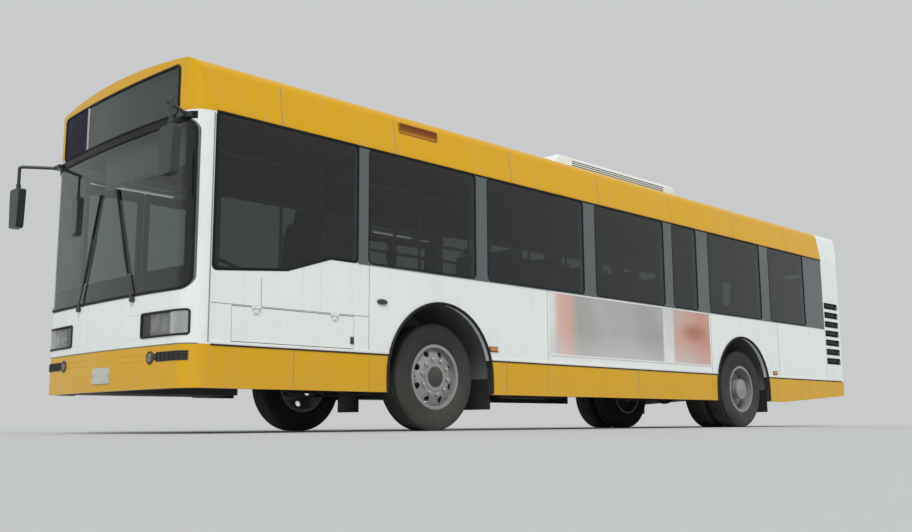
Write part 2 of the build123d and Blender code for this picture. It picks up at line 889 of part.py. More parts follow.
# Cross members as place along the bus, reach to the left, reach to the right
cross_places = (
    (seam_x - nose_member, inner_half - nose_member_inset, rail_stub),
    ((front_arch[1] + front_well[0]) / 2 + arch_member, inner_half, inner_half),
    ((front_arch[0] + middle_well[1]) / 2, inner_half, inner_half),
    (doorway_centres[1], inner_half, rail_stub),
    (bay_start, inner_half, inner_half),
    (bay_start - bay_step, inner_half, inner_half),
    (bay_start - 2 * bay_step, inner_half, inner_half),
    (bay_end, inner_half, inner_half),
    (rear_arch[0] - tunnel_member, rail_stub, rail_stub),
    (bay_x - deck_member, inner_half, inner_half),
    (tail_x + tail_member, inner_half, inner_half),
)

with BuildPart() as cross_members:
    for x, left_reach, right_reach in cross_places:
        for y in ((-right_reach, -rail_y[1]), (-rail_y[0], rail_y[0]), (rail_y[1], left_reach)):
            slab(
                (x - cross_width / 2, x + cross_width / 2),
                y,
                (floor_bottom - cross_depth, floor_bottom),
            )
save("cross_members", cross_members)

# Axles
beam_half = 45.0
beam_z = (395.0, 465.0)
eye_radius = 52.0
eye_half = 55.0
tube_radius = 72.0
bowl_radius = 175.0
spring_radius = 105.0
spring_reach = 450.0
cradle_z = (380.0, 430.0)

with BuildPart() as axles:
    front_prism(
        [
            (-kingpin_y + eye_radius * 2, axle_height - eye_half),
            (-kingpin_y, axle_height - eye_half),
            (-kingpin_y, axle_height + eye_half),
            (-kingpin_y + eye_radius * 2, axle_height + eye_half),
            (-rail_y[1] - spring_radius, beam_z[1]),
            (rail_y[1] + spring_radius, beam_z[1]),
            (kingpin_y - eye_radius * 2, axle_height + eye_half),
            (kingpin_y, axle_height + eye_half),
            (kingpin_y, axle_height - eye_half),
            (kingpin_y - eye_radius * 2, axle_height - eye_half),
            (rail_y[1] + spring_radius, beam_z[0]),
            (-rail_y[1] - spring_radius, beam_z[0]),
        ],
        (front_axle_x - beam_half, front_axle_x + beam_half),
    )
    for side in (-1, 1):
        y = side * kingpin_y
        rod(
            (front_axle_x, y, axle_height - eye_half),
            (front_axle_x, y, axle_height + eye_half),
            eye_radius,
        )
        rod(
            (front_axle_x, y, axle_height - eye_half),
            (front_axle_x, y, axle_height + eye_half),
            kingpin_radius + bearing_gap,
            Mode.SUBTRACT,
        )
    hub_y = twin_outer_y - twin_pitch - tyre_width / 2
    rod((rear_axle_x, -hub_y, axle_height), (rear_axle_x, hub_y, axle_height), tube_radius)
    tip_y = twin_outer_y + spindle_reach
    rod((rear_axle_x, -tip_y, axle_height), (rear_axle_x, tip_y, axle_height), spindle_radius)
    with Locations((rear_axle_x, 0, axle_height)):
        Sphere(bowl_radius)
    for side in (-1, 1):
        y = sorted((side * rail_y[0], side * rail_y[1]))
        slab(
            (rear_axle_x - spring_reach - spring_radius, rear_axle_x + spring_reach + spring_radius),
            y,
            cradle_z,
        )
save("axles", axles)

# Air springs between the axles and the rails
with BuildPart() as air_springs:
    for side in (-1, 1):
        y = side * (rail_y[0] + rail_y[1]) / 2
        rod((front_axle_x, y, beam_z[1]), (front_axle_x, y, rail_bottom), spring_radius)
        for reach in (-spring_reach, spring_reach):
            x = rear_axle_x + reach
            rod((x, y, cradle_z[1]), (x, y, rail_bottom), spring_radius)
save("air_springs", air_springs)

# Steering knuckles turn about the kingpins and carry the spindles
lug_height = 40.0
knuckle_half = 48.0
knuckle_web = 45.0
steering_arm = 190.0
arm_radius = 20.0
tie_radius = 16.0

for side, place in ((1, "left"), (-1, "right")):
    kingpin = side * kingpin_y
    web_y = kingpin + side * (eye_radius + air_gap)
    low_z = axle_height - eye_half - air_gap - lug_height
    high_z = axle_height + eye_half + air_gap + lug_height
    with BuildPart() as knuckle:
        for z in ((low_z, low_z + lug_height), (high_z - lug_height, high_z)):
            rod((front_axle_x, kingpin, z[0]), (front_axle_x, kingpin, z[1]), knuckle_half)
            y = sorted((kingpin, web_y))
            slab((front_axle_x - knuckle_half, front_axle_x + knuckle_half), y, z)
        y = sorted((web_y, web_y + side * knuckle_web))
        slab((front_axle_x - knuckle_half, front_axle_x + knuckle_half), y, (low_z, high_z))
        rod((front_axle_x, kingpin, low_z), (front_axle_x, kingpin, high_z), kingpin_radius)
        spindle_end = side * (front_wheel_y + spindle_reach)
        rod((front_axle_x, web_y, axle_height), (front_axle_x, spindle_end, axle_height), spindle_radius)
        eye_x = front_axle_x - steering_arm
        slab(
            (eye_x, front_axle_x),
            (kingpin - arm_radius, kingpin + arm_radius),
            (low_z, low_z + lug_height),
        )
        rod((eye_x, kingpin, low_z), (eye_x, kingpin, low_z + lug_height), arm_radius * 1.5)
        rod(
            (eye_x, kingpin, low_z),
            (eye_x, kingpin, low_z + lug_height),
            pivot_pin + bearing_gap,
            Mode.SUBTRACT,
        )
    save(f"{place}_knuckle", knuckle)

# Tie rod under the steering arms, with a pin up into each eye
with BuildPart() as tie_rod:
    eye_x = front_axle_x - steering_arm
    eye_z = axle_height - eye_half - air_gap - lug_height
    tie_z = eye_z - air_gap * 2 - tie_radius * 2
    rod((eye_x, -kingpin_y, tie_z + tie_radius), (eye_x, kingpin_y, tie_z + tie_radius), tie_radius)
    for side in (-1, 1):
        y = side * kingpin_y
        rod((eye_x, y, tie_z - air_gap), (eye_x, y, eye_z - air_gap), arm_radius * 1.4)
        rod((eye_x, y, eye_z - tie_radius), (eye_x, y, eye_z + lug_height), pivot_pin)
save("tie_rod", tie_rod)

# Wheels, drawn as half sections turned about the axle line
hub_radius = 130.0
hub_reach = 120.0
hub_stand_off = 60.0
hub_cap = 20.0
bead_seat = 240.0
front_dish = 100.0
front_joint = 55.0
twin_joint = 60.0
bead_height = 18.0
shoulder = 45.0
hole_count = 8
hole_radius = 30.0
hole_circle = 225.0


def wheel_plane(axle_x, centre_y, side):
    """Plane whose x runs out from the axle line and whose y runs to the outside."""
    return Plane(origin=(axle_x, centre_y, axle_height), x_dir=(1, 0, 0), z_dir=(0, 0, side))


def rim_section(dish, joint):
    """Half section of a rim whose disc runs from a joint on the barrel to its dish."""
    width = bead_seat / 2
    inner = rim_radius - rim_skin
    return [
        (inner, -width),
        (rim_radius + bead_height, -width),
        (rim_radius + bead_height, -width + rim_skin),
        (rim_radius, -width + rim_skin * 2),
        (rim_radius, width - rim_skin * 2),
        (rim_radius + bead_height, width - rim_skin),
        (rim_radius + bead_height, width),
        (inner, width),
        (inner, joint + disc_skin),
        (hub_radius + shoulder, dish + disc_skin),
        (hub_radius, dish + disc_skin),
        (hub_radius, dish),
        (hub_radius + shoulder, dish),
        (inner, joint),
    ]


def tyre_section():
    """Half section of a tyre from bead to tread."""
    width = tyre_width / 2
    bead = rim_radius + 1
    foot = bead_seat / 2 - rim_skin * 2 - 1
    return [
        (bead, -foot),
        (rim_radius + shoulder, -foot),
        (rim_radius + 2 * shoulder, -width),
        (tyre_radius - shoulder, -width),
        (tyre_radius - rim_skin, -width + rim_skin * 2),
        (tyre_radius, -width + shoulder),
        (tyre_radius, width - shoulder),
        (tyre_radius - rim_skin, width - rim_skin * 2),
        (tyre_radius - shoulder, width),
        (rim_radius + 2 * shoulder, width),
        (rim_radius + shoulder, foot),
        (bead, foot),
    ]


def turned(points, plane, axle_x, mode=Mode.ADD):
    """Section turned about the wheel's axle line."""
    with BuildSketch(plane) as section:
        with BuildLine():
            Polyline(*points, close=True)
        make_face()
    axle_line = Axis((axle_x, 0, axle_height), (0, 1, 0))
    revolve(section.sketch, axis=axle_line, mode=mode)


# Wheel sets as end, axle place, inner end of the hub, and for each wheel its middle,
# dish and joint
wheel_sets = (
    (
        "front",
        front_axle_x,
        kingpin_y + eye_radius + hub_stand_off,
        ((front_wheel_y, front_dish, front_joint),),
    ),
    (
        "rear",
        rear_axle_x,
        twin_outer_y - twin_pitch - tyre_width / 2 + air_gap,
        (
            (twin_outer_y, -twin_pitch / 2, -twin_joint),
            (twin_outer_y - twin_pitch, twin_pitch / 2 - disc_skin, twin_joint - disc_skin),
        ),
    ),
)

for end, axle_x, hub_inner, wheels in wheel_sets:
    for side, place in ((1, "left"), (-1, "right")):
        with BuildPart() as rim:
            for middle, dish, joint in wheels:
                plane = wheel_plane(axle_x, side * middle, side)
                turned(rim_section(dish, joint), plane, axle_x)
            hub_end = side * (wheels[0][0] + hub_reach)
            rod((axle_x, side * hub_inner, axle_height), (axle_x, hub_end, axle_height), hub_radius)
            rod(
                (axle_x, side * hub_inner, axle_height),
                (axle_x, hub_end - side * hub_cap, axle_height),
                spindle_radius + bearing_gap,
                Mode.SUBTRACT,
            )
            for hole in range(hole_count):
                angle = math.radians((hole + 0.5) * 360 / hole_count)
                x = axle_x + hole_circle * math.cos(angle)
                z = axle_height + hole_circle * math.sin(angle)
                for middle, _, _ in wheels:
                    y = side * middle
                    reach = bead_seat / 2 - rim_skin
                    rod((x, y - reach, z), (x, y + reach, z), hole_radius, Mode.SUBTRACT)
        save(f"{end}_{place}_rim", rim)
        with BuildPart() as tyre:
            for middle, _, _ in wheels:
                turned(tyre_section(), wheel_plane(axle_x, side * middle, side), axle_x)
        save(f"{end}_{place}_tyre", tyre)

# Door leaves, posts and glasses. Arms on the post carry the leaf above and below it
arm_run = (doorway_width / 2 - meeting_gap / 2 + post_setback - toe_trail) / 2
pivot_y = -half + leaf_thickness / 2
leaf_y = (-half, -half + leaf_thickness)
low_arm = (tread_top + air_gap, tread_top + air_gap + arm_depth)
high_arm = (doorway_top - air_gap - arm_depth, doorway_top - air_gap)
leaf_z = (low_arm[1] + air_gap, high_arm[0] - air_gap)
leaf_foot = 130.0
leaf_bar_z = 1230.0
leaf_head = 90.0
leaf_windows = ((leaf_z[0] + leaf_foot, leaf_bar_z), (leaf_bar_z + leaf_frame, leaf_z[1] - leaf_head))
leaf_radius = 30.0

# Leaves as doorway, place in it, edge of the opening and direction into the opening
door_leaves = (
    ("front_door_front", doorways[0][1], -1),
    ("front_door_rear", doorways[0][0], 1),
    ("middle_door_front", doorways[1][1], -1),
    ("middle_door_rear", doorways[1][0], 1),
)

for name, jamb_x, way in door_leaves:
    post_x = jamb_x - way * post_setback
    pivot_x = post_x + way * arm_run
    heel_x = jamb_x + way * leaf_gap
    toe_x = jamb_x + way * (doorway_width - meeting_gap) / 2
    window_x = sorted((heel_x + way * leaf_frame, toe_x - way * leaf_frame))
    arm_length = math.hypot(arm_run, leaf_offset)
    side_x = arm_half * leaf_offset / arm_length
    side_y = arm_half * arm_run / arm_length * way
    with BuildPart() as post:
        rod((post_x, post_y, low_arm[0]), (post_x, post_y, doorway_top + header_gap - air_gap), post_radius)
        rod((post_x, post_y, tread_top - sheet), (post_x, post_y, doorway_top + pin_rise), post_pin)
        for z in (low_arm, high_arm):
            plan_prism(
                [
                    (post_x + side_x, post_y + side_y),
                    (post_x - side_x, post_y - side_y),
                    (pivot_x - side_x, pivot_y - side_y),
                    (pivot_x + side_x, pivot_y + side_y),
                ],
                z,
            )
            rod((pivot_x, pivot_y, z[0]), (pivot_x, pivot_y, z[1]), arm_half)
            rod((pivot_x, pivot_y, z[0]), (pivot_x, pivot_y, z[1]), pivot_pin + bearing_gap, Mode.SUBTRACT)
    save(f"{name}_post", post)
    with BuildPart() as leaf:
        slab(sorted((heel_x, toe_x)), leaf_y, leaf_z)
        for z in leaf_windows:
            side_prism(rectangle(window_x, z), (leaf_y[0] - 1, leaf_y[1] + 1), Mode.SUBTRACT, leaf_radius)
            side_prism(
                rectangle(window_x, z, glass_lap / 2),
                (leaf_y[0] - 1, leaf_y[0] + glass),
                Mode.SUBTRACT,
                leaf_radius,
            )
        rod((pivot_x, pivot_y, low_arm[0]), (pivot_x, pivot_y, leaf_z[0] + arm_depth), pivot_pin)
        rod((pivot_x, pivot_y, leaf_z[1] - arm_depth), (pivot_x, pivot_y, high_arm[1]), pivot_pin)
    save(f"{name}_leaf", leaf)
    with BuildPart() as leaf_glass:
        for z in leaf_windows:
            side_prism(
                rectangle(window_x, z, glass_lap / 2 - glass_gap),
                (leaf_y[0], leaf_y[0] + glass),
                radius=leaf_radius,
            )
    save(f"{name}_glass", leaf_glass)

# Engine and gearbox as one block, resting on the rails' rear ends
engine_rear = 350.0
engine_front = 250.0
engine_bottom = 400.0
engine_clearance = 60.0

with BuildPart() as engine:
    slab(
        (bulkhead_x - engine_rear, bay_x - engine_front),
        (-rail_y[0], rail_y[0]),
        (engine_bottom, deck_top - deck_thickness - engine_clearance),
    )
save("engine", engine)

# Fuel tank, battery box and air bottles hung under the cross members
hang_top = floor_bottom - cross_depth
tank_bottom = 370.0
bottle_radius = 125.0
bottle_inset = 190.0
bottle_pitch = 300.0
tank_margin = (30.0, 40.0)

with BuildPart() as underfloor_tanks:
    box_y = (rail_y[1] + tank_margin[0], inner_half - tank_margin[1])
    for front, rear in ((cross_places[4][0], cross_places[5][0]), (cross_places[2][0], cross_places[3][0])):
        slab((rear - cross_width, front + cross_width), box_y, (tank_bottom, hang_top))
    for row in range(2):
        y = -rail_y[1] - bottle_inset - row * bottle_pitch
        z = hang_top - bottle_radius
        ends = (cross_places[6][0] - cross_width, cross_places[5][0] + cross_width)
        rod((ends[0], y, z), (ends[1], y, z), bottle_radius)
save("underfloor_tanks", underfloor_tanks)

# Cab: dashboard, steering wheel, driver's seat and the screen behind it
dash_y = (-420.0, 1060.0)
dash_half = 60.0
# Corners of the dashboard as place behind the seam and height
dash_corners = (
    (dash_half, podium_top),
    (-dash_half, podium_top),
    (-dash_half, 1080.0),
    (180.0, 1180.0),
    (260.0, 1150.0),
    (260.0, 1090.0),
    (120.0, 1000.0),
)
with BuildPart() as dashboard:
    side_prism([(seam_x - behind, z) for behind, z in dash_corners], dash_y)
    slab((seam_x - dash_half, seam_x + dash_half), (dash_y[0], podium_y), (floor_top, podium_top))
save("dashboard", dashboard)

wheel_y = 720.0
column_radius = 35.0
hand_radius = 225.0
hand_grip = 15.0
spoke = (440.0, 36.0, 20.0)
column_foot = (seam_x - 215.0, wheel_y, podium_top - column_radius)
column_head = (seam_x - 440.0, wheel_y, 1330.0)
with BuildPart() as steering_wheel:
    rod(column_foot, column_head, column_radius)
    slope = Vector(*column_head) - Vector(*column_foot)
    with Locations(Plane(origin=column_head, z_dir=slope)):
        Torus(hand_radius, hand_grip)
        Box(*spoke)
    slab((seam_x - podium_length, seam_x), (podium_y, inner_half), (0, podium_top), Mode.SUBTRACT)
save("steering_wheel", steering_wheel)

cushion_low = podium_top + 260.0
cushion_top = podium_top + 400.0
cushion_half = 250.0
cushion_round = 40.0
pedestal_half = 180.0
back_top = podium_top + 1080.0
back_half = 240.0
seat_x = seam_x - 1010.0
# Corners of the back as place behind the seat's middle and height
back_corners = (
    (250.0, cushion_low + cushion_round),
    (120.0, cushion_low + cushion_round),
    (210.0, back_top),
    (320.0, back_top),
)
with BuildPart() as driver_seat:
    slab(
        (seat_x - pedestal_half, seat_x + pedestal_half),
        (wheel_y - pedestal_half, wheel_y + pedestal_half),
        (podium_top, cushion_low),
    )
    side_prism(
        rectangle((seat_x - cushion_half, seat_x + cushion_half), (cushion_low, cushion_top)),
        (wheel_y - cushion_half, wheel_y + cushion_half),
        radius=cushion_round,
    )
    side_prism(
        [(seat_x - behind, z) for behind, z in back_corners],
        (wheel_y - back_half, wheel_y + back_half),
        radius=cushion_round,
    )
save("driver_seat", driver_seat)

partition_x = (seam_x - 1545.0, seam_x - 1505.0)
partition_top = 2050.0
partition_frame = 45.0
with BuildPart() as driver_partition:
    slab(partition_x, (podium_y, inner_half), (floor_top, partition_top))
    slab(
        (partition_x[0] - 1, partition_x[1] + 1),
        (podium_y + partition_frame, inner_half - partition_frame),
        (sill_height, partition_top - partition_frame),
        Mode.SUBTRACT,
    )
save("driver_partition", driver_partition)

# Passenger seats stand in even rows. Each group has its first and last place, its number
# of rows, the floor under it and its side
seat_groups = (
    (rear_axle_x + 840.0, front_axle_x - 1110.0, 6, floor_top, 1),
    (rear_axle_x + 1190.0, middle_well[0] - 660.0, 3, floor_top, -1),
    (bay_x - 960.0, bay_x - 210.0, 2, deck_top, 1),
    (bay_x - 960.0, bay_x - 210.0, 2, deck_top, -1),
)
seat_rows = [
    (first + row * (last - first) / (count - 1), base, side)
    for first, last, count, base, side in seat_groups
    for row in range(count)
]
seat_width = 430.0
seat_height = 420.0
seat_depth = 420.0
seat_back = 700.0
seat_skin = 45.0
seat_rake = 70.0
seat_leg = 40.0
seat_legs = (100.0, 320.0)
seat_margin = 20.0
seat_round = 15.0

with BuildPart() as passenger_seats:
    for x, base, side in seat_rows:
        top = base + seat_height
        outer_y = inner_half - seat_margin
        y = sorted((side * outer_y, side * (outer_y - 2 * seat_width)))
        side_prism(
            [
                (x + seat_depth, top),
                (x + seat_skin, top),
                (x + seat_skin - seat_rake, top + seat_back),
                (x - seat_rake, top + seat_back),
                (x, top - seat_skin),
                (x + seat_depth, top - seat_skin),
            ],
            y,
            radius=seat_round,
        )
        middle = (y[0] + y[1]) / 2
        for reach in seat_legs:
            rod((x + reach, middle, base), (x + reach, middle, top - seat_skin / 2), seat_leg / 2)
save("passenger_seats", passenger_seats)

# Grab rails: posts from floor to ceiling joined by rails along both sides
pole_radius = 16.0
pole_y = 330.0
rail_z = 1950.0
# Poles as place along the side, in shares of it, and side
poles = (
    (0.1577, 1),
    (0.2748, 1),
    (0.3423, 1),
    (0.4775, 1),
    (0.5450, 1),
    (0.6757, 1),
    (0.8108, 1),
    (0.1577, -1),
    (0.2964, -1),
    (0.4378, -1),
    (0.5045, -1),
    (0.5721, -1),
    (0.6757, -1),
    (0.8108, -1),
)

with BuildPart() as grab_rails:
    for share, side in poles:
        x = seam_x - share * side_length
        rod((x, side * pole_y, floor_top), (x, side * pole_y, roof_height), pole_radius)
    first, last = (seam_x - pole[0] * side_length for pole in (poles[0], poles[-1]))
    for side in (-1, 1):
        rod((last, side * pole_y, rail_z), (first, side * pole_y, rail_z), pole_radius)
    add(cavity, mode=Mode.INTERSECT)
save("grab_rails", grab_rails)

# Mirrors hang from tube arms on brackets at both front corners
arm_tube = 15.0
arm_drop = 85.0
arm_root = 130.0
arm_depth_x = 90.0
hang = 205.0
arm_z = cant_height - arm_drop
mirror_z = (arm_z - hang - mirror_height, arm_z - hang)
mirror_corner = 32.0
mirror_taper = (0.9, 0.12)
bracket = 55.0

with BuildPart() as mirrors:
    tip_x = nose_x + mirror_forward - mirror_thickness / 2
    for side in (-1, 1):
        root_y = side * (half - arm_root)
        outer_y = side * (half + mirror_outward)
        tip_y = outer_y - side * mirror_width / 2
        elbow_y = side * (half + mirror_outward / 3)
        corners = (
            (nose_x - arm_depth_x, root_y, arm_z),
            (tip_x, elbow_y, arm_z),
            (tip_x, tip_y, arm_z),
            (tip_x, tip_y, mirror_z[0] + mirror_height / 2),
        )
        for start, end in zip(corners, corners[1:]):
            rod(start, end, arm_tube)
        for corner in corners[1:3]:
            with Locations(corner):
                Sphere(arm_tube)
        slab(
            (nose_x - 2 * bracket, nose_x),
            sorted((root_y - side * bracket, root_y + side * bracket)),
            (arm_z - bracket / 3, arm_z + bracket / 3),
        )
        front_prism(
            [
                (outer_y, mirror_z[1]),
                (outer_y - side * mirror_width, mirror_z[1]),
                (outer_y - side * mirror_width * mirror_taper[0], mirror_z[0]),
                (outer_y - side * mirror_width * mirror_taper[1], mirror_z[0]),
            ],
            (tip_x - mirror_thickness / 2, tip_x + mirror_thickness / 2),
            radius=mirror_corner,
        )
    add(outer, mode=Mode.SUBTRACT)
save("mirrors", mirrors)

# Wipers at rest along the lower edge of the windscreen
wiper_foot = (480.0, 1060.0)
wiper_head = (250.0, 1650.0)
wiper_stand_off = 12.0
wiper_radius = 7.0
spindle_cap = 22.0
spindle_cap_x = (nose_x - 30.0, nose_x + 20.0)
with BuildPart() as wipers:
    for side in (-1, 1):
        foot = (nose_x + wiper_stand_off, side * wiper_foot[0], wiper_foot[1])
        head = (nose_x + wiper_stand_off, side * wiper_head[0], wiper_head[1])
        ends = [(x, foot[1], foot[2]) for x in spindle_cap_x]
        rod(*ends, spindle_cap)
        rod(foot, head, wiper_radius)
    add(outer, mode=Mode.SUBTRACT)
save("wipers", wipers)
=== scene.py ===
"""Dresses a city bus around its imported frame.

Lengths are metres in the frame's axes: +X to the nose, +Y to the driver's side, +Z up.
"""

import json
import logging
import math
from dataclasses import dataclass, replace
from enum import Enum
from functools import cache
from typing import Any, Callable, Iterable, Sequence

import bmesh
import bpy
from mathutils import Matrix, Vector

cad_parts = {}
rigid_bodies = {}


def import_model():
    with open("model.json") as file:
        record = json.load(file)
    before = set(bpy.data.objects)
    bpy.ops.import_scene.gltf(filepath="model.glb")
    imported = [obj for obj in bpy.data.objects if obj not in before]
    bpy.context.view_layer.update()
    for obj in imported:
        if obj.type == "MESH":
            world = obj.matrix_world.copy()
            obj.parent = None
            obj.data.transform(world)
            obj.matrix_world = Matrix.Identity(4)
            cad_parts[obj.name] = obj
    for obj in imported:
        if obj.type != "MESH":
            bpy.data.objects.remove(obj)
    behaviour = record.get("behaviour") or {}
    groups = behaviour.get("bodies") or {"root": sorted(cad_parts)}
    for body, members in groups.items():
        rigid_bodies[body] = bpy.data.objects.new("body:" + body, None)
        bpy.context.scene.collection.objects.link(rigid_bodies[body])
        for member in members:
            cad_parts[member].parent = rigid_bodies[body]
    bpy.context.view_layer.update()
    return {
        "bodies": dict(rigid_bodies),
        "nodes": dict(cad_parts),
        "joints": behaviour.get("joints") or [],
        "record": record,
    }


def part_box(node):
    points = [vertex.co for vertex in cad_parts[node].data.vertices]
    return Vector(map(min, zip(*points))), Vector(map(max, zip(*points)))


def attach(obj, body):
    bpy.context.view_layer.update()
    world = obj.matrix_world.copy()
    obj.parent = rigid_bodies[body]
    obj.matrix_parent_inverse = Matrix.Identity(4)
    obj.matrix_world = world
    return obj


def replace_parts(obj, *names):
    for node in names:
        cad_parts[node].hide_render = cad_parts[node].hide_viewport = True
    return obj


Flat = Span = tuple[float, float]
Point = Colour = tuple[float, float, float]
Four = tuple[float, float, float, float]
Node, Socket, Piece = bpy.types.Node, bpy.types.NodeSocket, bpy.types.Object

log = logging.getLogger("bus")

COACH = "coachwork"
FLOAT, WHOLE, VECTOR = "NodeSocketFloat", "NodeSocketInt", "NodeSocketVector"
COLOUR, MATERIAL, GEOMETRY = "NodeSocketColor", "NodeSocketMaterial", "NodeSocketGeometry"
UP, AHEAD, BACK, ACROSS = (0, 0, 1), (1, 0, 0), (-1, 0, 0), (0, 1, 0)
ZERO = (0.0, 0.0, 0.0)


class Side(Enum):
    """The two long sides of the bus, as the sign of Y."""

    LEFT = 1
    RIGHT = -1

    @property
    def word(self) -> str:
        """Name of the side in lower case."""
        return self.name.lower()


class End(Enum):
    """The two ends of the bus."""

    FRONT = "front"
    REAR = "rear"


# Node trees


class Graph:
    """Short calls that add and join the nodes of one tree."""

    def __init__(self, tree: bpy.types.NodeTree) -> None:
        """Keeps the tree that the calls work on."""
        self.tree = tree

    def add(self, kind: str, inputs: dict[Any, Any] | None = None, **settings: Any) -> Node:
        """Adds a node.

        Args:
            kind: Blender's name of the node type.
            inputs: Values or sockets by input name or number.
            settings: Other properties of the node.

        Returns:
            The new node.
        """
        node = self.tree.nodes.new(kind)
        for key, value in settings.items():
            setattr(node, key, value)
        for key, value in (inputs or {}).items():
            self.feed(node.inputs[key], value)
        return node

    def feed(self, socket: Socket, value: Any) -> None:
        """Joins a socket to another one, or sets its constant.

        Args:
            socket: The input.
            value: An output socket, a number or a colour of three numbers.
        """
        if isinstance(value, Socket):
            self.tree.links.new(value, socket)
        elif socket.type == "RGBA" and len(value) == 3:
            socket.default_value = (*value, 1.0)
        else:
            socket.default_value = value

    def math(self, operation: str, first: Any, second: Any = 0.0, clamp: bool = False) -> Socket:
        """Result of a Math node, kept between 0 and 1 where it is clamped."""
        node = self.add("ShaderNodeMath", {0: first, 1: second}, operation=operation, use_clamp=clamp)
        return node.outputs[0]

    def mix(self, factor: Any, first: Any, second: Any) -> Socket:
        """Two colours mixed, where the factor is the second one's share."""
        inputs = {0: factor, 6: first, 7: second}
        return self.add("ShaderNodeMix", inputs, data_type="RGBA").outputs[2]

    def scale(self, value: Any, old: Span, new: Span) -> Socket:
        """A value moved from one range to another and kept in the new one."""
        inputs = {"Value": value, "From Min": old[0], "From Max": old[1], "To Min": new[0], "To Max": new[1]}
        return self.add("ShaderNodeMapRange", inputs).outputs["Result"]

    def place(self) -> Socket:
        """Object coordinates."""
        return self.add("ShaderNodeTexCoord").outputs["Object"]

    def noise(self, scale: Any, detail: float = 3.0, place: Any = None) -> Socket:
        """Noise value at a place, or on the object's own coordinates."""
        inputs = {"Vector": place or self.place(), "Scale": scale, "Detail": detail}
        return self.add("ShaderNodeTexNoise", inputs).outputs["Fac"]


class Group(Graph):
    """Graph of a node group with named inputs and outputs."""

    def __init__(
        self, name: str, inputs: dict[str, Any], outputs: dict[str, str], kind: str = "ShaderNodeTree"
    ) -> None:
        """Starts the group.

        Args:
            name: Name of the group.
            inputs: Default of each input, as a number or a colour, or else its kind of socket.
            outputs: Kind of socket of each output.
            kind: Blender's name of the tree type.
        """
        super().__init__(bpy.data.node_groups.new(name, kind))
        for label, value in inputs.items():
            given = isinstance(value, str)
            sort = value if given else COLOUR if isinstance(value, tuple) else FLOAT
            socket = self.tree.interface.new_socket(label, in_out="INPUT", socket_type=sort)
            if not given:
                socket.default_value = (*value, 1.0) if sort == COLOUR else value
        for label, sort in outputs.items():
            self.tree.interface.new_socket(label, in_out="OUTPUT", socket_type=sort)
        self.start, self.end = self.add("NodeGroupInput"), self.add("NodeGroupOutput")

    def take(self, label: str) -> Socket:
        """Value of one of the group's inputs."""
        return self.start.outputs[label]

    def give(self, label: str, value: Any) -> None:
        """Sets one of the group's outputs."""
        self.feed(self.end.inputs[label], value)

    def give_mask(self, mask: Any) -> None:
        """Puts out a mask, times the group's amount."""
        self.give("Mask", self.math("MULTIPLY", mask, self.take("Amount"), clamp=True))


class Surface(Graph):
    """Graph of a material with its Principled BSDF."""

    def __init__(self, material: bpy.types.Material) -> None:
        """Turns the material's nodes on and finds its shader.

        Args:
            material: The material to dress.
        """
        material.use_nodes = True
        super().__init__(material.node_tree)
        self.shader = next(node for node in self.tree.nodes if node.type == "BSDF_PRINCIPLED")

    def paint(self, **values: Any) -> None:
        """Sets inputs of the shader, whose spaces are underscores here."""
        for name, value in values.items():
            self.feed(self.shader.inputs[name.replace("_", " ")], value)

    def effect(self, group: Group, **values: Any) -> Socket:
        """Places a shared group.

        Args:
            group: The group.
            values: Values of its inputs, with spaces as underscores.

        Returns:
            The first output of the group's node.
        """
        node = self.add("ShaderNodeGroup", node_tree=group.tree)
        for name, value in values.items():
            self.feed(node.inputs[name.replace("_", " ")], value)
        return node.outputs[0]

    def relief(self, height: Any, strength: float, distance: float) -> None:
        """Gives the shader a normal bumped by a height."""
        inputs = {"Height": height, "Strength": strength, "Distance": distance}
        self.paint(Normal=self.add("ShaderNodeBump", inputs).outputs["Normal"])


@cache
def road_dust() -> Group:
    """Dust that thins out upwards from the road, as a mask.

    Returns:
        The group.
    """
    group = Group("road_dust", {"Amount": 0.4, "Low": 0.2, "High": 1.2, "Scale": 3.0}, {"Mask": FLOAT})
    height = group.add("ShaderNodeSeparateXYZ", {0: group.place()}).outputs["Z"]
    rise = group.scale(height, (group.take("Low"), group.take("High")), (1.0, 0.0))
    patch = group.scale(group.noise(group.take("Scale"), 5.0), (0.3, 0.7), (0.35, 1.0))
    group.give_mask(group.math("MULTIPLY", rise, patch))
    return group


@cache
def patina() -> Group:
    """Slow and fine changes of gloss, as a value between two limits.

    Returns:
        The group.
    """
    group = Group("patina", {"Scale": 2.0, "Low": 0.2, "High": 0.4}, {"Value": FLOAT})
    slow = group.noise(group.take("Scale"), 4.0)
    fine = group.noise(group.math("MULTIPLY", group.take("Scale"), 17.0), 2.0)
    blend = group.math("ADD", group.math("MULTIPLY", slow, 0.65), group.math("MULTIPLY", fine, 0.35))
    group.give("Value", group.scale(blend, (0.3, 0.7), (group.take("Low"), group.take("High"))))
    return group


@cache
def grain() -> Group:
    """Fine relief of a moulded, sprayed or cast surface, as a normal.

    Returns:
        The group.
    """
    group = Group("grain", {"Scale": 300.0, "Strength": 0.1, "Distance": 0.002}, {"Normal": VECTOR})
    inputs = {"Height": group.noise(group.take("Scale"))}
    inputs |= {label: group.take(label) for label in ("Strength", "Distance")}
    group.give("Normal", group.add("ShaderNodeBump", inputs).outputs["Normal"])
    return group


@cache
def rain_runs() -> Group:
    """Faint upright streaks that rain leaves on a side, as a mask.

    Returns:
        The group.
    """
    group = Group("rain_runs", {"Amount": 0.15, "Scale": 14.0}, {"Mask": FLOAT})
    tall = group.add("ShaderNodeMapping", {"Vector": group.place(), "Scale": (1.0, 1.0, 0.06)})
    streak = group.noise(group.take("Scale"), 4.0, tall.outputs["Vector"])
    group.give_mask(group.scale(streak, (0.5, 0.75), (0.0, 1.0)))
    return group


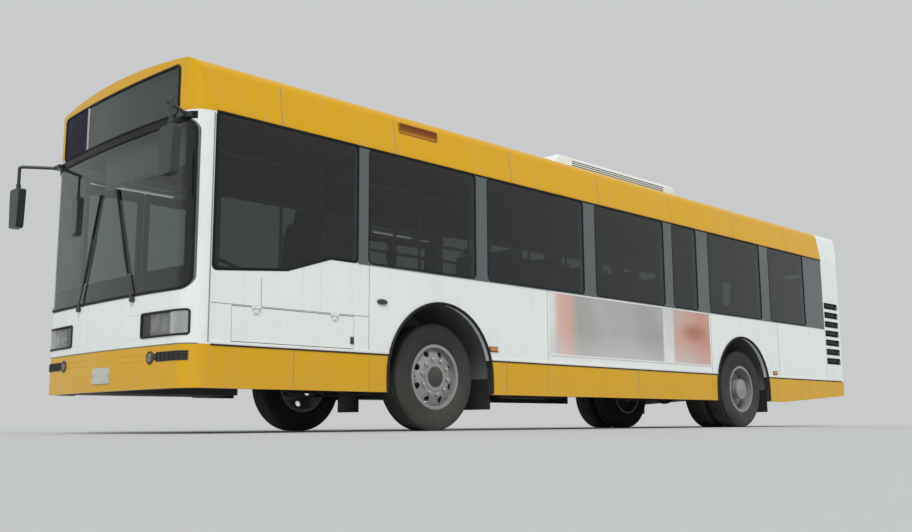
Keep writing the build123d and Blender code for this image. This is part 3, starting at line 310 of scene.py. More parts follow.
@cache
def edge_wear() -> Group:
    """Rubbed corners, as a mask.

    Returns:
        The group.
    """
    group = Group("edge_wear", {"Amount": 0.5}, {"Mask": FLOAT})
    sharpness = group.add("ShaderNodeNewGeometry").outputs["Pointiness"]
    corner = group.scale(sharpness, (0.52, 0.6), (0.0, 1.0))
    broken = group.scale(group.noise(60.0, 4.0), (0.4, 0.6), (0.2, 1.0))
    group.give_mask(group.math("MULTIPLY", corner, broken))
    return group


@cache
def weave() -> Group:
    """Crossing threads in two colours, as a colour and a height.

    Returns:
        The group.
    """
    inputs = {"Scale": 90.0, "Warp": (0.1, 0.1, 0.1), "Weft": (0.2, 0.2, 0.2)}
    group = Group("weave", inputs, {"Colour": COLOUR, "Height": FLOAT})
    bands = []
    for turn in (0.0, math.pi / 2):
        turned = group.add("ShaderNodeMapping", {"Vector": group.place(), "Rotation": (0.0, 0.0, turn)})
        inputs = {"Vector": turned.outputs[0], "Distortion": 0.6, "Scale": group.take("Scale")}
        bands.append(group.add("ShaderNodeTexWave", inputs, bands_direction="X").outputs["Fac"])
    over = group.math("GREATER_THAN", *bands)
    group.give("Colour", group.mix(over, group.take("Warp"), group.take("Weft")))
    group.give("Height", group.math("MAXIMUM", *bands))
    return group


@cache
def inside_box() -> Group:
    """Mask that is 1 where X and Z lie between limits and Y is within a reach of the middle.

    Returns:
        The group.
    """
    limits = {f"{axis} {limit}": 0.0 for axis in "XZ" for limit in ("low", "high")}
    group = Group("inside_box", {**limits, "Y reach": 9.0}, {"Mask": FLOAT})
    parts = group.add("ShaderNodeSeparateXYZ", {0: group.place()}).outputs
    mask = group.math("LESS_THAN", group.math("ABSOLUTE", parts["Y"]), group.take("Y reach"))
    for axis in "XZ":
        above = group.math("GREATER_THAN", parts[axis], group.take(f"{axis} low"))
        below = group.math("LESS_THAN", parts[axis], group.take(f"{axis} high"))
        mask = group.math("MULTIPLY", mask, group.math("MULTIPLY", above, below))
    group.give("Mask", mask)
    return group


# Finishes

DUST_COLOUR = (0.3, 0.27, 0.22)
STREAK_COLOUR = (0.42, 0.41, 0.36)
FLECK_COLOUR = (0.35, 0.12, 0.05)
UNDERSEAL = (0.035, 0.036, 0.038)
CAP_START = 4.9
LINED_BOX = (-5.79, 5.47, 1.235)


@dataclass(frozen=True)
class Finish:
    """A surface with its colour, gloss, relief, dust and wear."""

    name: str
    colour: Colour
    roughness: Span = (0.3, 0.5)
    metallic: float = 0.0
    coat: float = 0.0
    grain_scale: float = 250.0
    grain_strength: float = 0.08
    patina_scale: float = 2.0
    dust: float = 0.25
    dust_top: float = 1.3
    wear: float = 0.0
    bare: Colour = (0.45, 0.45, 0.45)
    shade: float = 0.08
    specular: float = 0.5

    def material(self) -> bpy.types.Material:
        """Builds the finish's material the first time it is asked for.

        Returns:
            The material.
        """
        material = bpy.data.materials.get(self.name)
        if material is None:
            material = bpy.data.materials.new(self.name)
            self.dress(Surface(material))
            material.diffuse_color = (*self.colour, 1.0)
        return material

    def base(self, surface: Surface) -> Socket:
        """Colour before dust and wear, here with a slow change of shade.

        Args:
            surface: The material's graph.

        Returns:
            The colour.
        """
        darker = tuple(part * (1.0 - self.shade * 2) for part in self.colour)
        slow = surface.scale(surface.noise(self.patina_scale, 4.0), (0.35, 0.65), (0.0, 0.6))
        return surface.mix(slow, self.colour, darker)

    def gloss(self, surface: Surface) -> Socket:
        """Roughness that changes slowly between the finish's two values."""
        low, high = self.roughness
        return surface.effect(patina(), Scale=self.patina_scale, Low=low, High=high)

    def dress(self, surface: Surface) -> None:
        """Joins the effects to the shader.

        Args:
            surface: The material's graph.
        """
        colour, gloss = self.base(surface), self.gloss(surface)
        if self.wear:
            colour = surface.mix(surface.effect(edge_wear(), Amount=self.wear), colour, self.bare)
        if self.dust:
            dust = surface.effect(road_dust(), Amount=self.dust, High=self.dust_top)
            colour = surface.mix(dust, colour, DUST_COLOUR)
            gloss = surface.math("ADD", gloss, surface.math("MULTIPLY", dust, 0.4), clamp=True)
        surface.paint(Base_Color=colour, Roughness=gloss, Metallic=self.metallic, Coat_Weight=self.coat)
        surface.paint(Specular_IOR_Level=self.specular)
        surface.paint(Normal=surface.effect(grain(), Scale=self.grain_scale, Strength=self.grain_strength))


@dataclass(frozen=True)
class CoachPaint(Finish):
    """Enamel in the two colours of the livery, split by place, with faint rain streaks."""

    second: Colour = (0.0, 0.0, 0.0)
    band: Four = (0.0, 0.0, 0.0, 0.0)
    lined: bool = False

    def base(self, surface: Surface) -> Socket:
        """White or yellow by place, with streaks, and dark underseal inside the body.

        Args:
            surface: The material's graph.

        Returns:
            The colour.
        """
        colour = Finish.base(self, surface)
        start, end, low, high = self.band
        if end > start:
            cove = surface.effect(inside_box(), X_low=start, X_high=end, Z_low=low, Z_high=high)
            cap = surface.effect(inside_box(), X_low=CAP_START, X_high=end, Z_low=low, Z_high=high + 1.0)
            colour = surface.mix(surface.math("MAXIMUM", cove, cap), colour, self.second)
        colour = surface.mix(surface.effect(rain_runs(), Amount=0.1), colour, STREAK_COLOUR)
        if self.lined:
            start, end, reach = LINED_BOX
            box = dict(X_low=start, X_high=end, Z_low=0.0, Z_high=9.0, Y_reach=reach)
            colour = surface.mix(surface.effect(inside_box(), **box), colour, UNDERSEAL)
        return colour


@dataclass(frozen=True)
class Glazing(Finish):
    """Safety glass with a tint and faint smears."""

    patina_scale: float = 1.4
    density: float = 1.45

    def dress(self, surface: Surface) -> None:
        """Glass with smears in its gloss.

        Args:
            surface: The material's graph.
        """
        dust = surface.effect(road_dust(), Amount=self.dust, Low=0.6, High=self.dust_top)
        tint = surface.mix(dust, self.colour, DUST_COLOUR)
        surface.paint(Base_Color=tint, Roughness=self.gloss(surface), Metallic=0.0)
        surface.paint(IOR=self.density, Transmission_Weight=1.0)


@dataclass(frozen=True)
class Lens(Finish):
    """Moulded lamp lens with upright ribs."""

    clear: float = 0.0
    ribs: float = 130.0

    def dress(self, surface: Surface) -> None:
        """Coloured plastic with ribs as relief.

        Args:
            surface: The material's graph.
        """
        Finish.dress(self, surface)
        turned = surface.add("ShaderNodeMapping", {"Vector": surface.place(), "Scale": (0.0, 1.0, 0.0)})
        inputs = {"Vector": turned.outputs[0], "Scale": self.ribs}
        wave = surface.add("ShaderNodeTexWave", inputs, bands_direction="Y")
        surface.relief(wave.outputs["Fac"], 0.35, 0.002)
        surface.paint(Transmission_Weight=self.clear)


@dataclass(frozen=True)
class Cloth(Finish):
    """Woven seat cloth in two thread colours."""

    weft: Colour = (0.1, 0.1, 0.1)
    threads: float = 85.0
    roughness: Span = (0.75, 0.95)
    patina_scale: float = 4.0

    def dress(self, surface: Surface) -> None:
        """Threads as colour and relief, with a soft sheen.

        Args:
            surface: The material's graph.
        """
        cloth = surface.effect(weave(), Scale=self.threads, Warp=self.colour, Weft=self.weft)
        flecks = surface.scale(surface.noise(45.0), (0.55, 0.7), (0.0, 0.35))
        surface.paint(Base_Color=surface.mix(flecks, cloth, FLECK_COLOUR), Roughness=self.gloss(surface))
        surface.relief(cloth.node.outputs["Height"], 0.35, 0.001)
        surface.paint(Sheen_Weight=0.25)


@dataclass(frozen=True)
class Poster(Finish):
    """Soft abstract fields of grey and salmon on a printed side panel, with a darker oval."""

    edges: Span = (-1.87, 1.35)
    oval: Flat = (-1.5, 1.17)
    oval_size: Flat = (0.3, 0.12)
    oval_colour: Colour = (0.4, 0.15, 0.09)
    stops: tuple[tuple[float, Colour], ...] = (
        (0.0, (0.6, 0.27, 0.2)), (0.12, (0.62, 0.33, 0.26)), (0.26, (0.66, 0.4, 0.33)),
        (0.262, (0.8, 0.82, 0.8)), (0.33, (0.78, 0.8, 0.78)), (0.335, (0.36, 0.37, 0.37)),
        (0.6, (0.43, 0.43, 0.42)), (0.84, (0.4, 0.39, 0.38)), (0.9, (0.72, 0.42, 0.33)),
        (0.955, (0.76, 0.5, 0.42)), (0.975, (0.8, 0.82, 0.8)),
    )

    def base(self, surface: Surface) -> Socket:
        """Colour fields along the panel, with soft shapes.

        Args:
            surface: The material's graph.

        Returns:
            The colour.
        """
        parts = surface.add("ShaderNodeSeparateXYZ", {0: surface.place()}).outputs
        ramp = surface.add("ShaderNodeValToRGB", {"Fac": surface.scale(parts["X"], self.edges, (0.0, 1.0))})
        while len(ramp.color_ramp.elements) < len(self.stops):
            ramp.color_ramp.elements.new(0.5)
        for element, (where, colour) in zip(ramp.color_ramp.elements, self.stops):
            element.position, element.color = where, (*colour, 1.0)
        cloud = surface.scale(surface.noise(1.6), (0.45, 0.62), (0.0, 0.5))
        colour = surface.mix(cloud, ramp.outputs["Color"], (0.52, 0.52, 0.52))
        (x, z), (width, height) = self.oval, self.oval_size
        inputs = {"Location": (-x / width, 0.0, -z / height), "Scale": (1.0 / width, 0.0, 1.0 / height)}
        centred = surface.add("ShaderNodeMapping", {"Vector": surface.place(), **inputs})
        apart = surface.add("ShaderNodeVectorMath", {0: centred.outputs[0]}, operation="LENGTH")
        oval = surface.scale(apart.outputs["Value"], (0.35, 1.2), (0.75, 0.0))
        colour = surface.mix(oval, colour, self.oval_colour)
        low = surface.scale(parts["Z"], (0.78, 1.05), (0.35, 0.0))
        return surface.mix(low, colour, (0.75, 0.76, 0.76))


WHITE = (0.84, 0.88, 0.85)
YELLOW = (0.73, 0.395, 0.001)
COVE_BAND = (-5.2, 9.0, 2.503, 2.955)
SATIN, CLEAR, MOULDED = (0.25, 0.4), (0.0, 0.03), (0.08, 0.2)

ENAMEL = dict(
    roughness=(0.18, 0.32), coat=0.08, grain_scale=60.0, grain_strength=0.015, shade=0.02, specular=0.3
)
BODY_PAINT = CoachPaint(
    "coach_white_and_yellow", WHITE, second=YELLOW, band=COVE_BAND, dust=0.1, dust_top=1.0, **ENAMEL
)
LOW_PAINT = CoachPaint("coach_yellow", YELLOW, lined=True, dust=0.12, dust_top=0.7, **ENAMEL)
WHITE_PAINT = CoachPaint("coach_white", WHITE, dust=0.06, dust_top=1.0, **ENAMEL)
SIDE_GLASS = Glazing("tinted_side_glass", (0.22, 0.25, 0.25), CLEAR, dust=0.05, dust_top=1.6)
SCREEN_GLASS = Glazing("windscreen_glass", (0.42, 0.5, 0.46), CLEAR, dust=0.05, dust_top=1.5)
LENS_CLEAR = Lens("clear_ribbed_lens", (0.92, 0.94, 0.94), (0.02, 0.08), clear=0.9, dust=0.05)
LENS_RED = Lens("red_ribbed_lens", (0.5, 0.015, 0.01), MOULDED, coat=0.4, dust=0.1)
LENS_AMBER = Lens("amber_ribbed_lens", (0.75, 0.22, 0.01), MOULDED, coat=0.4, dust=0.1)
LENS_SMOKED = Lens("smoked_lens", (0.02, 0.02, 0.022), (0.05, 0.15), coat=0.5, dust=0.1)
PILLAR = Finish("grey_pillar_film", (0.105, 0.125, 0.13), SATIN, coat=0.1, grain_strength=0.02, dust=0.1)
SEAL = Finish(
    "window_rubber", (0.01, 0.011, 0.011), (0.5, 0.75),
    grain_strength=0.12, dust=0.1, shade=0.2, specular=0.25,
)
CERAMIC = Finish("black_screen_print", (0.006, 0.007, 0.008), (0.3, 0.45), dust=0.0, specular=0.2)
PLASTIC = Finish(
    "grained_black_plastic", (0.018, 0.019, 0.02), (0.4, 0.6), grain_strength=0.3, wear=0.3, bare=(0.12,) * 3
)
MIRROR_SHELL = Finish("mirror_shell", (0.03, 0.04, 0.04), grain_strength=0.2)
CAB_PLASTIC = Finish("cab_plastic", (0.055, 0.06, 0.065), (0.5, 0.7), grain_strength=0.35, dust=0.0)
CHASSIS = Finish(
    "chassis_paint", (0.022, 0.022, 0.024), (0.5, 0.8),
    grain_strength=0.25, dust=0.75, dust_top=1.2, wear=0.4, bare=(0.16, 0.11, 0.08),
)
CAST = Finish(
    "cast_iron", (0.09, 0.088, 0.085), (0.6, 0.85), 0.3, grain_scale=120.0, grain_strength=0.4, dust=0.6
)
TANK = Finish("painted_tank_sheet", (0.05, 0.052, 0.055), (0.35, 0.6), dust=0.6, wear=0.3)
BELLOWS = Finish("bellows_rubber_moulded", (0.016, 0.016, 0.017), (0.55, 0.8), grain_strength=0.2, dust=0.6)
TYRE = Finish(
    "tyre_tread_rubber", (0.014, 0.014, 0.015), (0.65, 0.9),
    grain_scale=150.0, grain_strength=0.3, dust=0.18, dust_top=1.1, shade=0.2,
)
WHEEL = Finish(
    "silver_wheel_enamel", (0.34, 0.35, 0.35), (0.3, 0.55), 0.3, dust=0.4, dust_top=1.2, wear=0.3
)
STEEL = Finish("plated_steel", (0.55, 0.55, 0.54), (0.2, 0.45), 1.0, grain_strength=0.05, dust=0.3)
SILVER = Finish("mirror_silver", (0.85, 0.87, 0.88), (0.02, 0.05), 1.0, grain_strength=0.0, dust=0.0)
ALUMINIUM = Finish("brushed_aluminium", (0.62, 0.63, 0.63), (0.25, 0.45), 0.9, grain_strength=0.1, dust=0.2)
TRIM_WHITE = Finish("white_trim_strip", (0.86, 0.87, 0.85), SATIN, dust=0.08)
SEALANT = Finish("joint_sealant", (0.22, 0.23, 0.22), (0.6, 0.8), dust=0.1)
VENT_BROWN = Finish("brown_vent_plastic", (0.36, 0.105, 0.02), (0.45, 0.65), grain_strength=0.2, dust=0.0)
DOOR_DARK = Finish("door_profile", (0.035, 0.037, 0.04), metallic=0.2, dust=0.15, wear=0.3)
FLOORING = Finish(
    "studded_floor_covering", (0.11, 0.112, 0.118), (0.6, 0.8),
    grain_scale=90.0, grain_strength=0.4, dust_top=0.9,
)
HATCH = Finish("moulded_hatch", (0.62, 0.64, 0.63), (0.35, 0.55), grain_strength=0.15, dust=0.0)
SHELL = Finish(
    "seat_shell_blue", (0.045, 0.075, 0.2), (0.35, 0.55),
    grain_strength=0.2, dust=0.0, wear=0.3, bare=(0.2, 0.25, 0.4),
)
SEAT_CLOTH = Cloth("saloon_seat_cloth", (0.03, 0.05, 0.16), weft=(0.1, 0.13, 0.26))
DRIVER_CLOTH = Cloth("driver_seat_cloth", (0.022, 0.024, 0.03), weft=(0.07, 0.075, 0.09))
RAIL_PAINT = Finish("powder_coated_yellow", (0.7, 0.42, 0.03), (0.3, 0.45), coat=0.2, dust=0.0, wear=0.2)
LINING = Finish("pale_lining", (0.42, 0.43, 0.42), (0.5, 0.7), grain_strength=0.15, dust=0.0)
SIGN_PANEL = Finish("sign_display_panel", (0.1, 0.095, 0.105), (0.35, 0.5), dust=0.0, shade=0.15)
ROUTE_PANEL = Finish(
    "sign_number_panel", (0.018, 0.013, 0.03), (0.5, 0.7), dust=0.0, shade=0.15, specular=0.15
)
PLATE = Finish("blank_plate", (0.6, 0.62, 0.56), (0.4, 0.55), grain_strength=0.1, dust=0.3, dust_top=0.9)
POSTER = Poster("abstract_side_poster", (0.5, 0.5, 0.5), SATIN, dust=0.06, grain_strength=0.02)
DIAL = Finish("dial_face", (0.01, 0.01, 0.012), (0.2, 0.3), coat=0.4, dust=0.0)

SLOT_FINISHES = {
    "body_white": BODY_PAINT,
    "body_yellow": LOW_PAINT,
    "window_glass": SIDE_GLASS,
    "lamp_clear": LENS_CLEAR,
    "lamp_red": LENS_RED,
    "frame_steel": CHASSIS,
    "bellows_rubber": BELLOWS,
    "tyre_rubber": TYRE,
    "wheel_grey": WHEEL,
    "door_frame": DOOR_DARK,
    "floor_grey": FLOORING,
    "hatch_grey": HATCH,
    "mirror_black": MIRROR_SHELL,
    "cab_dark": CAB_PLASTIC,
    "seat_shell": SHELL,
    "seat_cloth": DRIVER_CLOTH,
    "rail_yellow": RAIL_PAINT,
    "engine_iron": CAST,
    "tank_metal": TANK,
}
NODE_FINISHES = {"windscreen": SCREEN_GLASS, "roof": BODY_PAINT, "roof_unit": WHITE_PAINT}


# Meshes


def place_piece(
    name: str, mesh: bpy.types.Mesh, finish: Finish, body: str, slot: str, sharp: float = 35.0
) -> Piece:
    """Puts a finished mesh in the scene and lets it ride on a body.

    Args:
        name: Name of the piece.
        mesh: Its mesh, in the frame's axes.
        finish: Its finish.
        body: Body that carries it.
        slot: The record's slot; not used.
        sharp: Angle in degrees above which an edge stays sharp.

    Returns:
        The piece.
    """
    mesh.name = name
    mesh.materials.clear()
    mesh.materials.append(finish.material())
    for polygon in mesh.polygons:
        polygon.material_index = 0
    mesh.shade_smooth()
    mesh.set_sharp_from_angle(angle=math.radians(sharp))
    piece = bpy.data.objects.new(name, mesh)
    bpy.context.scene.collection.objects.link(piece)
    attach(piece, body)
    log.info("%s rides on %s with %d faces", name, body, len(mesh.polygons))
    return piece


def about(centre: float, half: float) -> Span:
    """Span that reaches equally far on both sides of its centre."""
    return (centre - half, centre + half)


def inset(span: Span, gap: float) -> Span:
    """A span that starts and ends a gap further in."""
    return (span[0] + gap, span[1] - gap)


def between(span: Span, step: int, steps: int) -> float:
    """Value at one of the equal steps through a span."""
    return span[0] + (span[1] - span[0]) * step / steps


def around(profile: Iterable[Flat], origin: Point, axis: Point, sides: int) -> list[list[Vector]]:
    """Turns a profile about an axis.

    Args:
        profile: Distance along the axis and radius of each point.
        origin: Point on the axis.
        axis: Direction of the axis.
        sides: Steps around.

    Returns:
        The profile's points at each step.
    """
    along = Vector(axis).normalized()
    across = along.orthogonal().normalized()
    other = along.cross(across)
    steps = []
    for step in range(sides):
        angle = 2 * math.pi * step / sides
        out = across * math.cos(angle) + other * math.sin(angle)
        steps.append([Vector(origin) + along * reach + out * radius for reach, radius in profile])
    return steps


class Form:
    """A mesh being built from closed shapes."""

    def __init__(self) -> None:
        """Starts an empty mesh."""
        self.bm = bmesh.new()

    def block(self, x: Span, y: Span, z: Span, bevel: float = 0.0, segments: int = 2) -> None:
        """Adds a box with rounded edges.

        Args:
            x: Low and high X, in either order.
            y: Low and high Y, in either order.
            z: Low and high Z, in either order.
            bevel: Radius of the edges.
            segments: Steps of the rounding.
        """
        centre = Vector(sum(span) / 2 for span in (x, y, z))
        size = Vector(abs(span[1] - span[0]) for span in (x, y, z))
        corners = bmesh.ops.create_cube(self.bm, size=1.0)["verts"]
        for corner in corners:
            corner.co = centre + Vector(part * reach for part, reach in zip(corner.co, size))
        if bevel:
            edges = list({edge for corner in corners for edge in corner.link_edges})
            settings = dict(offset=bevel, segments=segments, affect="EDGES", profile=0.5)
            bmesh.ops.bevel(self.bm, geom=edges, **settings)

    def rings(self, rings: Iterable[Sequence[Vector]], closed: bool = False) -> None:
        """Joins rings of points with faces, and closes the two ends.

        Args:
            rings: Rings with the same number of points, each in order.
            closed: True to join the last ring to the first.
        """
        made = [[self.bm.verts.new(point) for point in ring] for ring in rings]
        pairs = list(zip(made, made[1:])) + ([(made[-1], made[0])] if closed else [])
        count = len(made[0])
        for low, high in pairs:
            for step in range(count):
                after = (step + 1) % count
                self.bm.faces.new((low[step], low[after], high[after], high[step]))
        if not closed:
            self.bm.faces.new(list(reversed(made[0])))
            self.bm.faces.new(made[-1])

    def turn(self, profile: Sequence[Flat], origin: Point, axis: Point, sides: int = 32) -> None:
        """Adds a shape turned about an axis, closed at both ends.

        Args:
            profile: Distance along the axis and radius, in order.
            origin: Point on the axis.
            axis: Direction of the axis.
            sides: Steps around.
        """
        open_profile = [(reach, max(radius, 1e-4)) for reach, radius in profile]
        self.rings(zip(*around(open_profile, origin, axis, sides)))

    def ring(self, profile: Sequence[Flat], origin: Point, axis: Point, sides: int = 64) -> None:
        """Adds a ring whose closed section of distances and radii is turned about an axis."""
        self.rings(around(profile, origin, axis, sides), closed=True)

    def rod(self, start: Point, end: Point, radius: float, sides: int = 16) -> None:
        """Adds a round bar with softened ends.

        Args:
            start: Middle of one end.
            end: Middle of the other end.
            radius: Radius of the bar.
            sides: Steps around.
        """
        run = Vector(end) - Vector(start)
        chamfer = radius * 0.15
        thin, length = radius - chamfer, run.length
        profile = ((0.0, thin), (chamfer, radius), (length - chamfer, radius), (length, thin))
        self.turn(profile, start, run, sides)

    def prism(self, outline: Sequence[Point], push: Point) -> None:
        """Adds a flat outline drawn out along a direction."""
        self.rings([[Vector(point) + Vector(shift) for point in outline] for shift in (ZERO, push)])

    def sheet(
        self, place: Callable[[float, float], Point], u: Span, v: Span, steps: tuple[int, int], depth: float
    ) -> None:
        """Adds a curved plate.

        Args:
            place: Point of the outer face for two surface values.
            u: Range of the first value.
            v: Range of the second value.
            steps: Steps along each value.
            depth: How far the back face lies behind the outer one along X.
        """
        wide, tall = steps
        rims = []
        for back in (Vector(ZERO), Vector((-depth, 0.0, 0.0))):
            grid = []
            for i in range(wide + 1):
                spots = [place(between(u, i, wide), between(v, j, tall)) for j in range(tall + 1)]
                grid.append([self.bm.verts.new(Vector(spot) + back) for spot in spots])
            self.cover(grid)
            rim = [grid[i][0] for i in range(wide)] + [grid[-1][j] for j in range(tall)]
            rim += [grid[i][-1] for i in range(wide, 0, -1)] + [grid[0][j] for j in range(tall, 0, -1)]
            rims.append(rim)
        for step, (outer, inner) in enumerate(zip(*rims)):
            after = (step + 1) % len(rims[0])
            self.bm.faces.new((outer, rims[0][after], rims[1][after], inner))

    def cover(self, grid: Sequence[Sequence[bmesh.types.BMVert]]) -> None:
        """Fills a grid with faces.

        Args:
            grid: Rows of corners.
        """
        for row, after in zip(grid, grid[1:]):
            for j in range(len(row) - 1):
                self.bm.faces.new((row[j], after[j], after[j + 1], row[j + 1]))

    def plate(self, outline: Sequence[Point], holes: Sequence[Sequence[Point]], push: Point) -> None:
        """Adds a flat plate with holes.

        Args:
            outline: Corners of the plate in order.
            holes: Corners of each hole in order.
            push: Thickness of the plate as a direction.
        """
        edges = []
        for loop in (outline, *holes):
            corners = [self.bm.verts.new(point) for point in loop]
            edges += [self.bm.edges.new((corners[i - 1], corners[i])) for i in range(len(corners))]
        faces = bmesh.ops.triangle_fill(self.bm, use_beauty=True, use_dissolve=False, edges=edges)["geom"]
        faces = [face for face in faces if isinstance(face, bmesh.types.BMFace)]
        grown = bmesh.ops.extrude_face_region(self.bm, geom=faces, use_keep_orig=True)["geom"]
        for corner in grown:
            if isinstance(corner, bmesh.types.BMVert):
                corner.co += Vector(push)

    def piece(
        self, name: str, finish: Finish, slot: str = "mirror_black", body: str = COACH, sharp: float = 35.0
    ) -> Piece:
        """Closes the mesh and places it.

        Args:
            name: Name of the piece.
            finish: Its finish.
            slot: The record's slot.
            body: Body that carries it.
            sharp: Angle in degrees above which an edge stays sharp.

        Returns:
            The piece.
        """
        bmesh.ops.remove_doubles(self.bm, verts=self.bm.verts, dist=2e-5)
        bmesh.ops.recalc_face_normals(self.bm, faces=self.bm.faces)
        mesh = bpy.data.meshes.new(name)
        self.bm.to_mesh(mesh)
        self.bm.free()
        return place_piece(name, mesh, finish, body, slot, sharp)


def rounded(corners: Sequence[Flat], radius: float, steps: int = 5) -> list[Flat]:
    """Rounds the corners of a flat outline.

    Args:
        corners: Corners in order.
        radius: Radius of each corner.
        steps: Steps around a corner.

    Returns:
        Points of the rounded outline.
    """
    points: list[Flat] = []
    for index, corner in enumerate(corners):
        here = Vector(corner)
        back = (Vector(corners[index - 1]) - here).normalized()
        ahead = (Vector(corners[(index + 1) % len(corners)]) - here).normalized()
        half = back.angle(ahead) / 2
        reach = radius / math.tan(half)
        middle = here + (back + ahead).normalized() * radius / math.sin(half)
        first = here + back * reach - middle
        last = here + ahead * reach - middle
        for step in range(steps + 1):
            points.append(tuple(middle + first.lerp(last, step / steps).normalized() * radius))
    return points


def box_outline(x: Span, z: Span, radius: float, steps: int = 5) -> list[Flat]:
    """Rounded rectangle between two ranges.

    Args:
        x: Range of the first value.
        z: Range of the second value.
        radius: Radius of the corners.
        steps: Steps around a corner.

    Returns:
        Points of the outline.
    """
    (left, right), (foot, head) = sorted(x), sorted(z)
    return rounded([(left, foot), (right, foot), (right, head), (left, head)], radius, steps)


def dense(points: Sequence[Flat], pitch: float, closed: bool = True) -> list[Flat]:
    """Adds points so that none are further apart than a pitch.

    Args:
        points: Points in order.
        pitch: Largest distance between two points.
        closed: True where the last point joins the first.

    Returns:
        The denser outline.
    """
    result: list[Flat] = []
    for start, end in list(zip(points, points[1:])) + ([(points[-1], points[0])] if closed else []):
        count = max(1, math.ceil(math.dist(start, end) / pitch))
        result += [tuple(between(span, i, count) for span in zip(start, end)) for i in range(count)]
    return result if closed else [*result, points[-1]]


class Recipe(Group):
    """A Geometry Nodes tree with named inputs, built once and grown on carriers."""

    def __init__(self, name: str, **inputs: str) -> None:
        """Starts the tree with a geometry, its named inputs and a finish.

        Args:
            name: Name of the tree.
            inputs: Kind of socket of each named input.
        """
        sockets = {"Geometry": GEOMETRY, **inputs, "Finish": MATERIAL}
        super().__init__(name, sockets, {"Geometry": GEOMETRY}, "GeometryNodeTree")

    def close(self, geometry: Node) -> None:
        """Ends the tree in Realize Instances and Set Material.

        Args:
            geometry: Node whose first output is the finished geometry.
        """
        real = self.add("GeometryNodeRealizeInstances", {0: geometry.outputs[0]}).outputs[0]
        painted = self.add("GeometryNodeSetMaterial", {"Geometry": real, "Material": self.take("Finish")})
        self.give("Geometry", painted.outputs[0])

    def grow(
        self, name: str, carrier: bpy.types.ID, finish: Finish = SEAL, slot: str = "mirror_black",
        body: str = COACH, **values: Any,
    ) -> Piece:
        """Runs the tree on a carrier and places the result as a plain mesh.

        Args:
            name: Name of the piece.
            carrier: Mesh or curve data that the tree starts from.
            finish: Finish of the piece.
            slot: The record's slot.
            body: Body that carries the piece.
            values: Values of the named inputs.

        Returns:
            The piece.
        """
        holder = bpy.data.objects.new(f"{name}_carrier", carrier)
        bpy.context.scene.collection.objects.link(holder)
        modifier = holder.modifiers.new("grow", "NODES")
        modifier.node_group = self.tree
        wanted = {"Finish": finish.material(), **values}
        for item in self.tree.interface.items_tree:
            if item.in_out == "INPUT" and item.name in wanted:
                modifier[item.identifier] = wanted[item.name]
        evaluated = holder.evaluated_get(bpy.context.evaluated_depsgraph_get())
        mesh = bpy.data.meshes.new_from_object(evaluated)
        bpy.data.objects.remove(holder)
        return place_piece(name, mesh, finish, body, slot)


@cache
def bead_recipe() -> Recipe:
    """Round bead along curves.

    Returns:
        The tree, with inputs Radius and Sides.
    """
    recipe = Recipe("bead_along_path", Radius=FLOAT, Sides=WHOLE)
    inputs = {"Radius": recipe.take("Radius"), "Resolution": recipe.take("Sides")}
    ring = recipe.add("GeometryNodeCurvePrimitiveCircle", inputs)
    inputs = {"Curve": recipe.take("Geometry"), "Profile Curve": ring.outputs[0], "Fill Caps": True}
    recipe.close(recipe.add("GeometryNodeCurveToMesh", inputs))
    return recipe


@cache
def slat_recipe() -> Recipe:
    """Row of equal bars with rounded edges.

    Returns:
        The tree, with inputs for the bars' number, places and sizes.
    """
    recipe = Recipe(
        "row_of_slats", Count=WHOLE, First=VECTOR, Step=VECTOR, Half=VECTOR,
        Width=FLOAT, Height=FLOAT, Corner=FLOAT, Tilt=VECTOR,
    )
    labels = {"Count": "Count", "Start Location": "First", "Offset": "Step"}
    inputs = {socket: recipe.take(label) for socket, label in labels.items()}
    row = recipe.add("GeometryNodeMeshLine", inputs, mode="OFFSET", count_mode="TOTAL")
    inputs = {0: recipe.take("Half"), 1: (-1.0, -1.0, -1.0)}
    back = recipe.add("ShaderNodeVectorMath", inputs, operation="MULTIPLY")
    inputs = {"Start": back.outputs[0], "End": recipe.take("Half")}
    line = recipe.add("GeometryNodeCurvePrimitiveLine", inputs)
    inputs = {label: recipe.take(label) for label in ("Width", "Height")}
    section = recipe.add("GeometryNodeCurvePrimitiveQuadrilateral", inputs)
    inputs = {"Curve": section.outputs[0], "Count": 2, "Radius": recipe.take("Corner")}
    soft = recipe.add("GeometryNodeFilletCurve", inputs, mode="POLY")
    inputs = {"Curve": line.outputs[0], "Profile Curve": soft.outputs[0], "Fill Caps": True}
    bar = recipe.add("GeometryNodeCurveToMesh", inputs)
    inputs = {"Points": row.outputs[0], "Instance": bar.outputs[0], "Rotation": recipe.take("Tilt")}
    recipe.close(recipe.add("GeometryNodeInstanceOnPoints", inputs))
    return recipe


@cache
def nut_recipe() -> Recipe:
    """Hexagon nut on a washer at each point, turned to the point's facing attribute.

    Returns:
        The tree, with inputs Size and Height.
    """
    recipe = Recipe("nuts_on_points", Size=FLOAT, Height=FLOAT)
    both = recipe.add("GeometryNodeJoinGeometry")
    for vertices, wider, taller in ((6, 1.0, 1.0), (14, 1.35, 0.4), (8, 0.5, 1.5)):
        radius = recipe.math("MULTIPLY", recipe.take("Size"), wider)
        depth = recipe.math("MULTIPLY", recipe.take("Height"), taller)
        inputs = {"Vertices": vertices, "Radius": radius, "Depth": depth}
        part = recipe.add("GeometryNodeMeshCylinder", inputs)
        recipe.tree.links.new(part.outputs["Mesh"], both.inputs[0])
    facing = recipe.add("GeometryNodeInputNamedAttribute", {"Name": "facing"}, data_type="FLOAT_VECTOR")
    turned = recipe.add("FunctionNodeAlignRotationToVector", {"Vector": facing.outputs[0]}, axis="Z")
    inputs = {"Points": recipe.take("Geometry"), "Instance": both.outputs[0], "Rotation": turned.outputs[0]}
    recipe.close(recipe.add("GeometryNodeInstanceOnPoints", inputs))
    return recipe


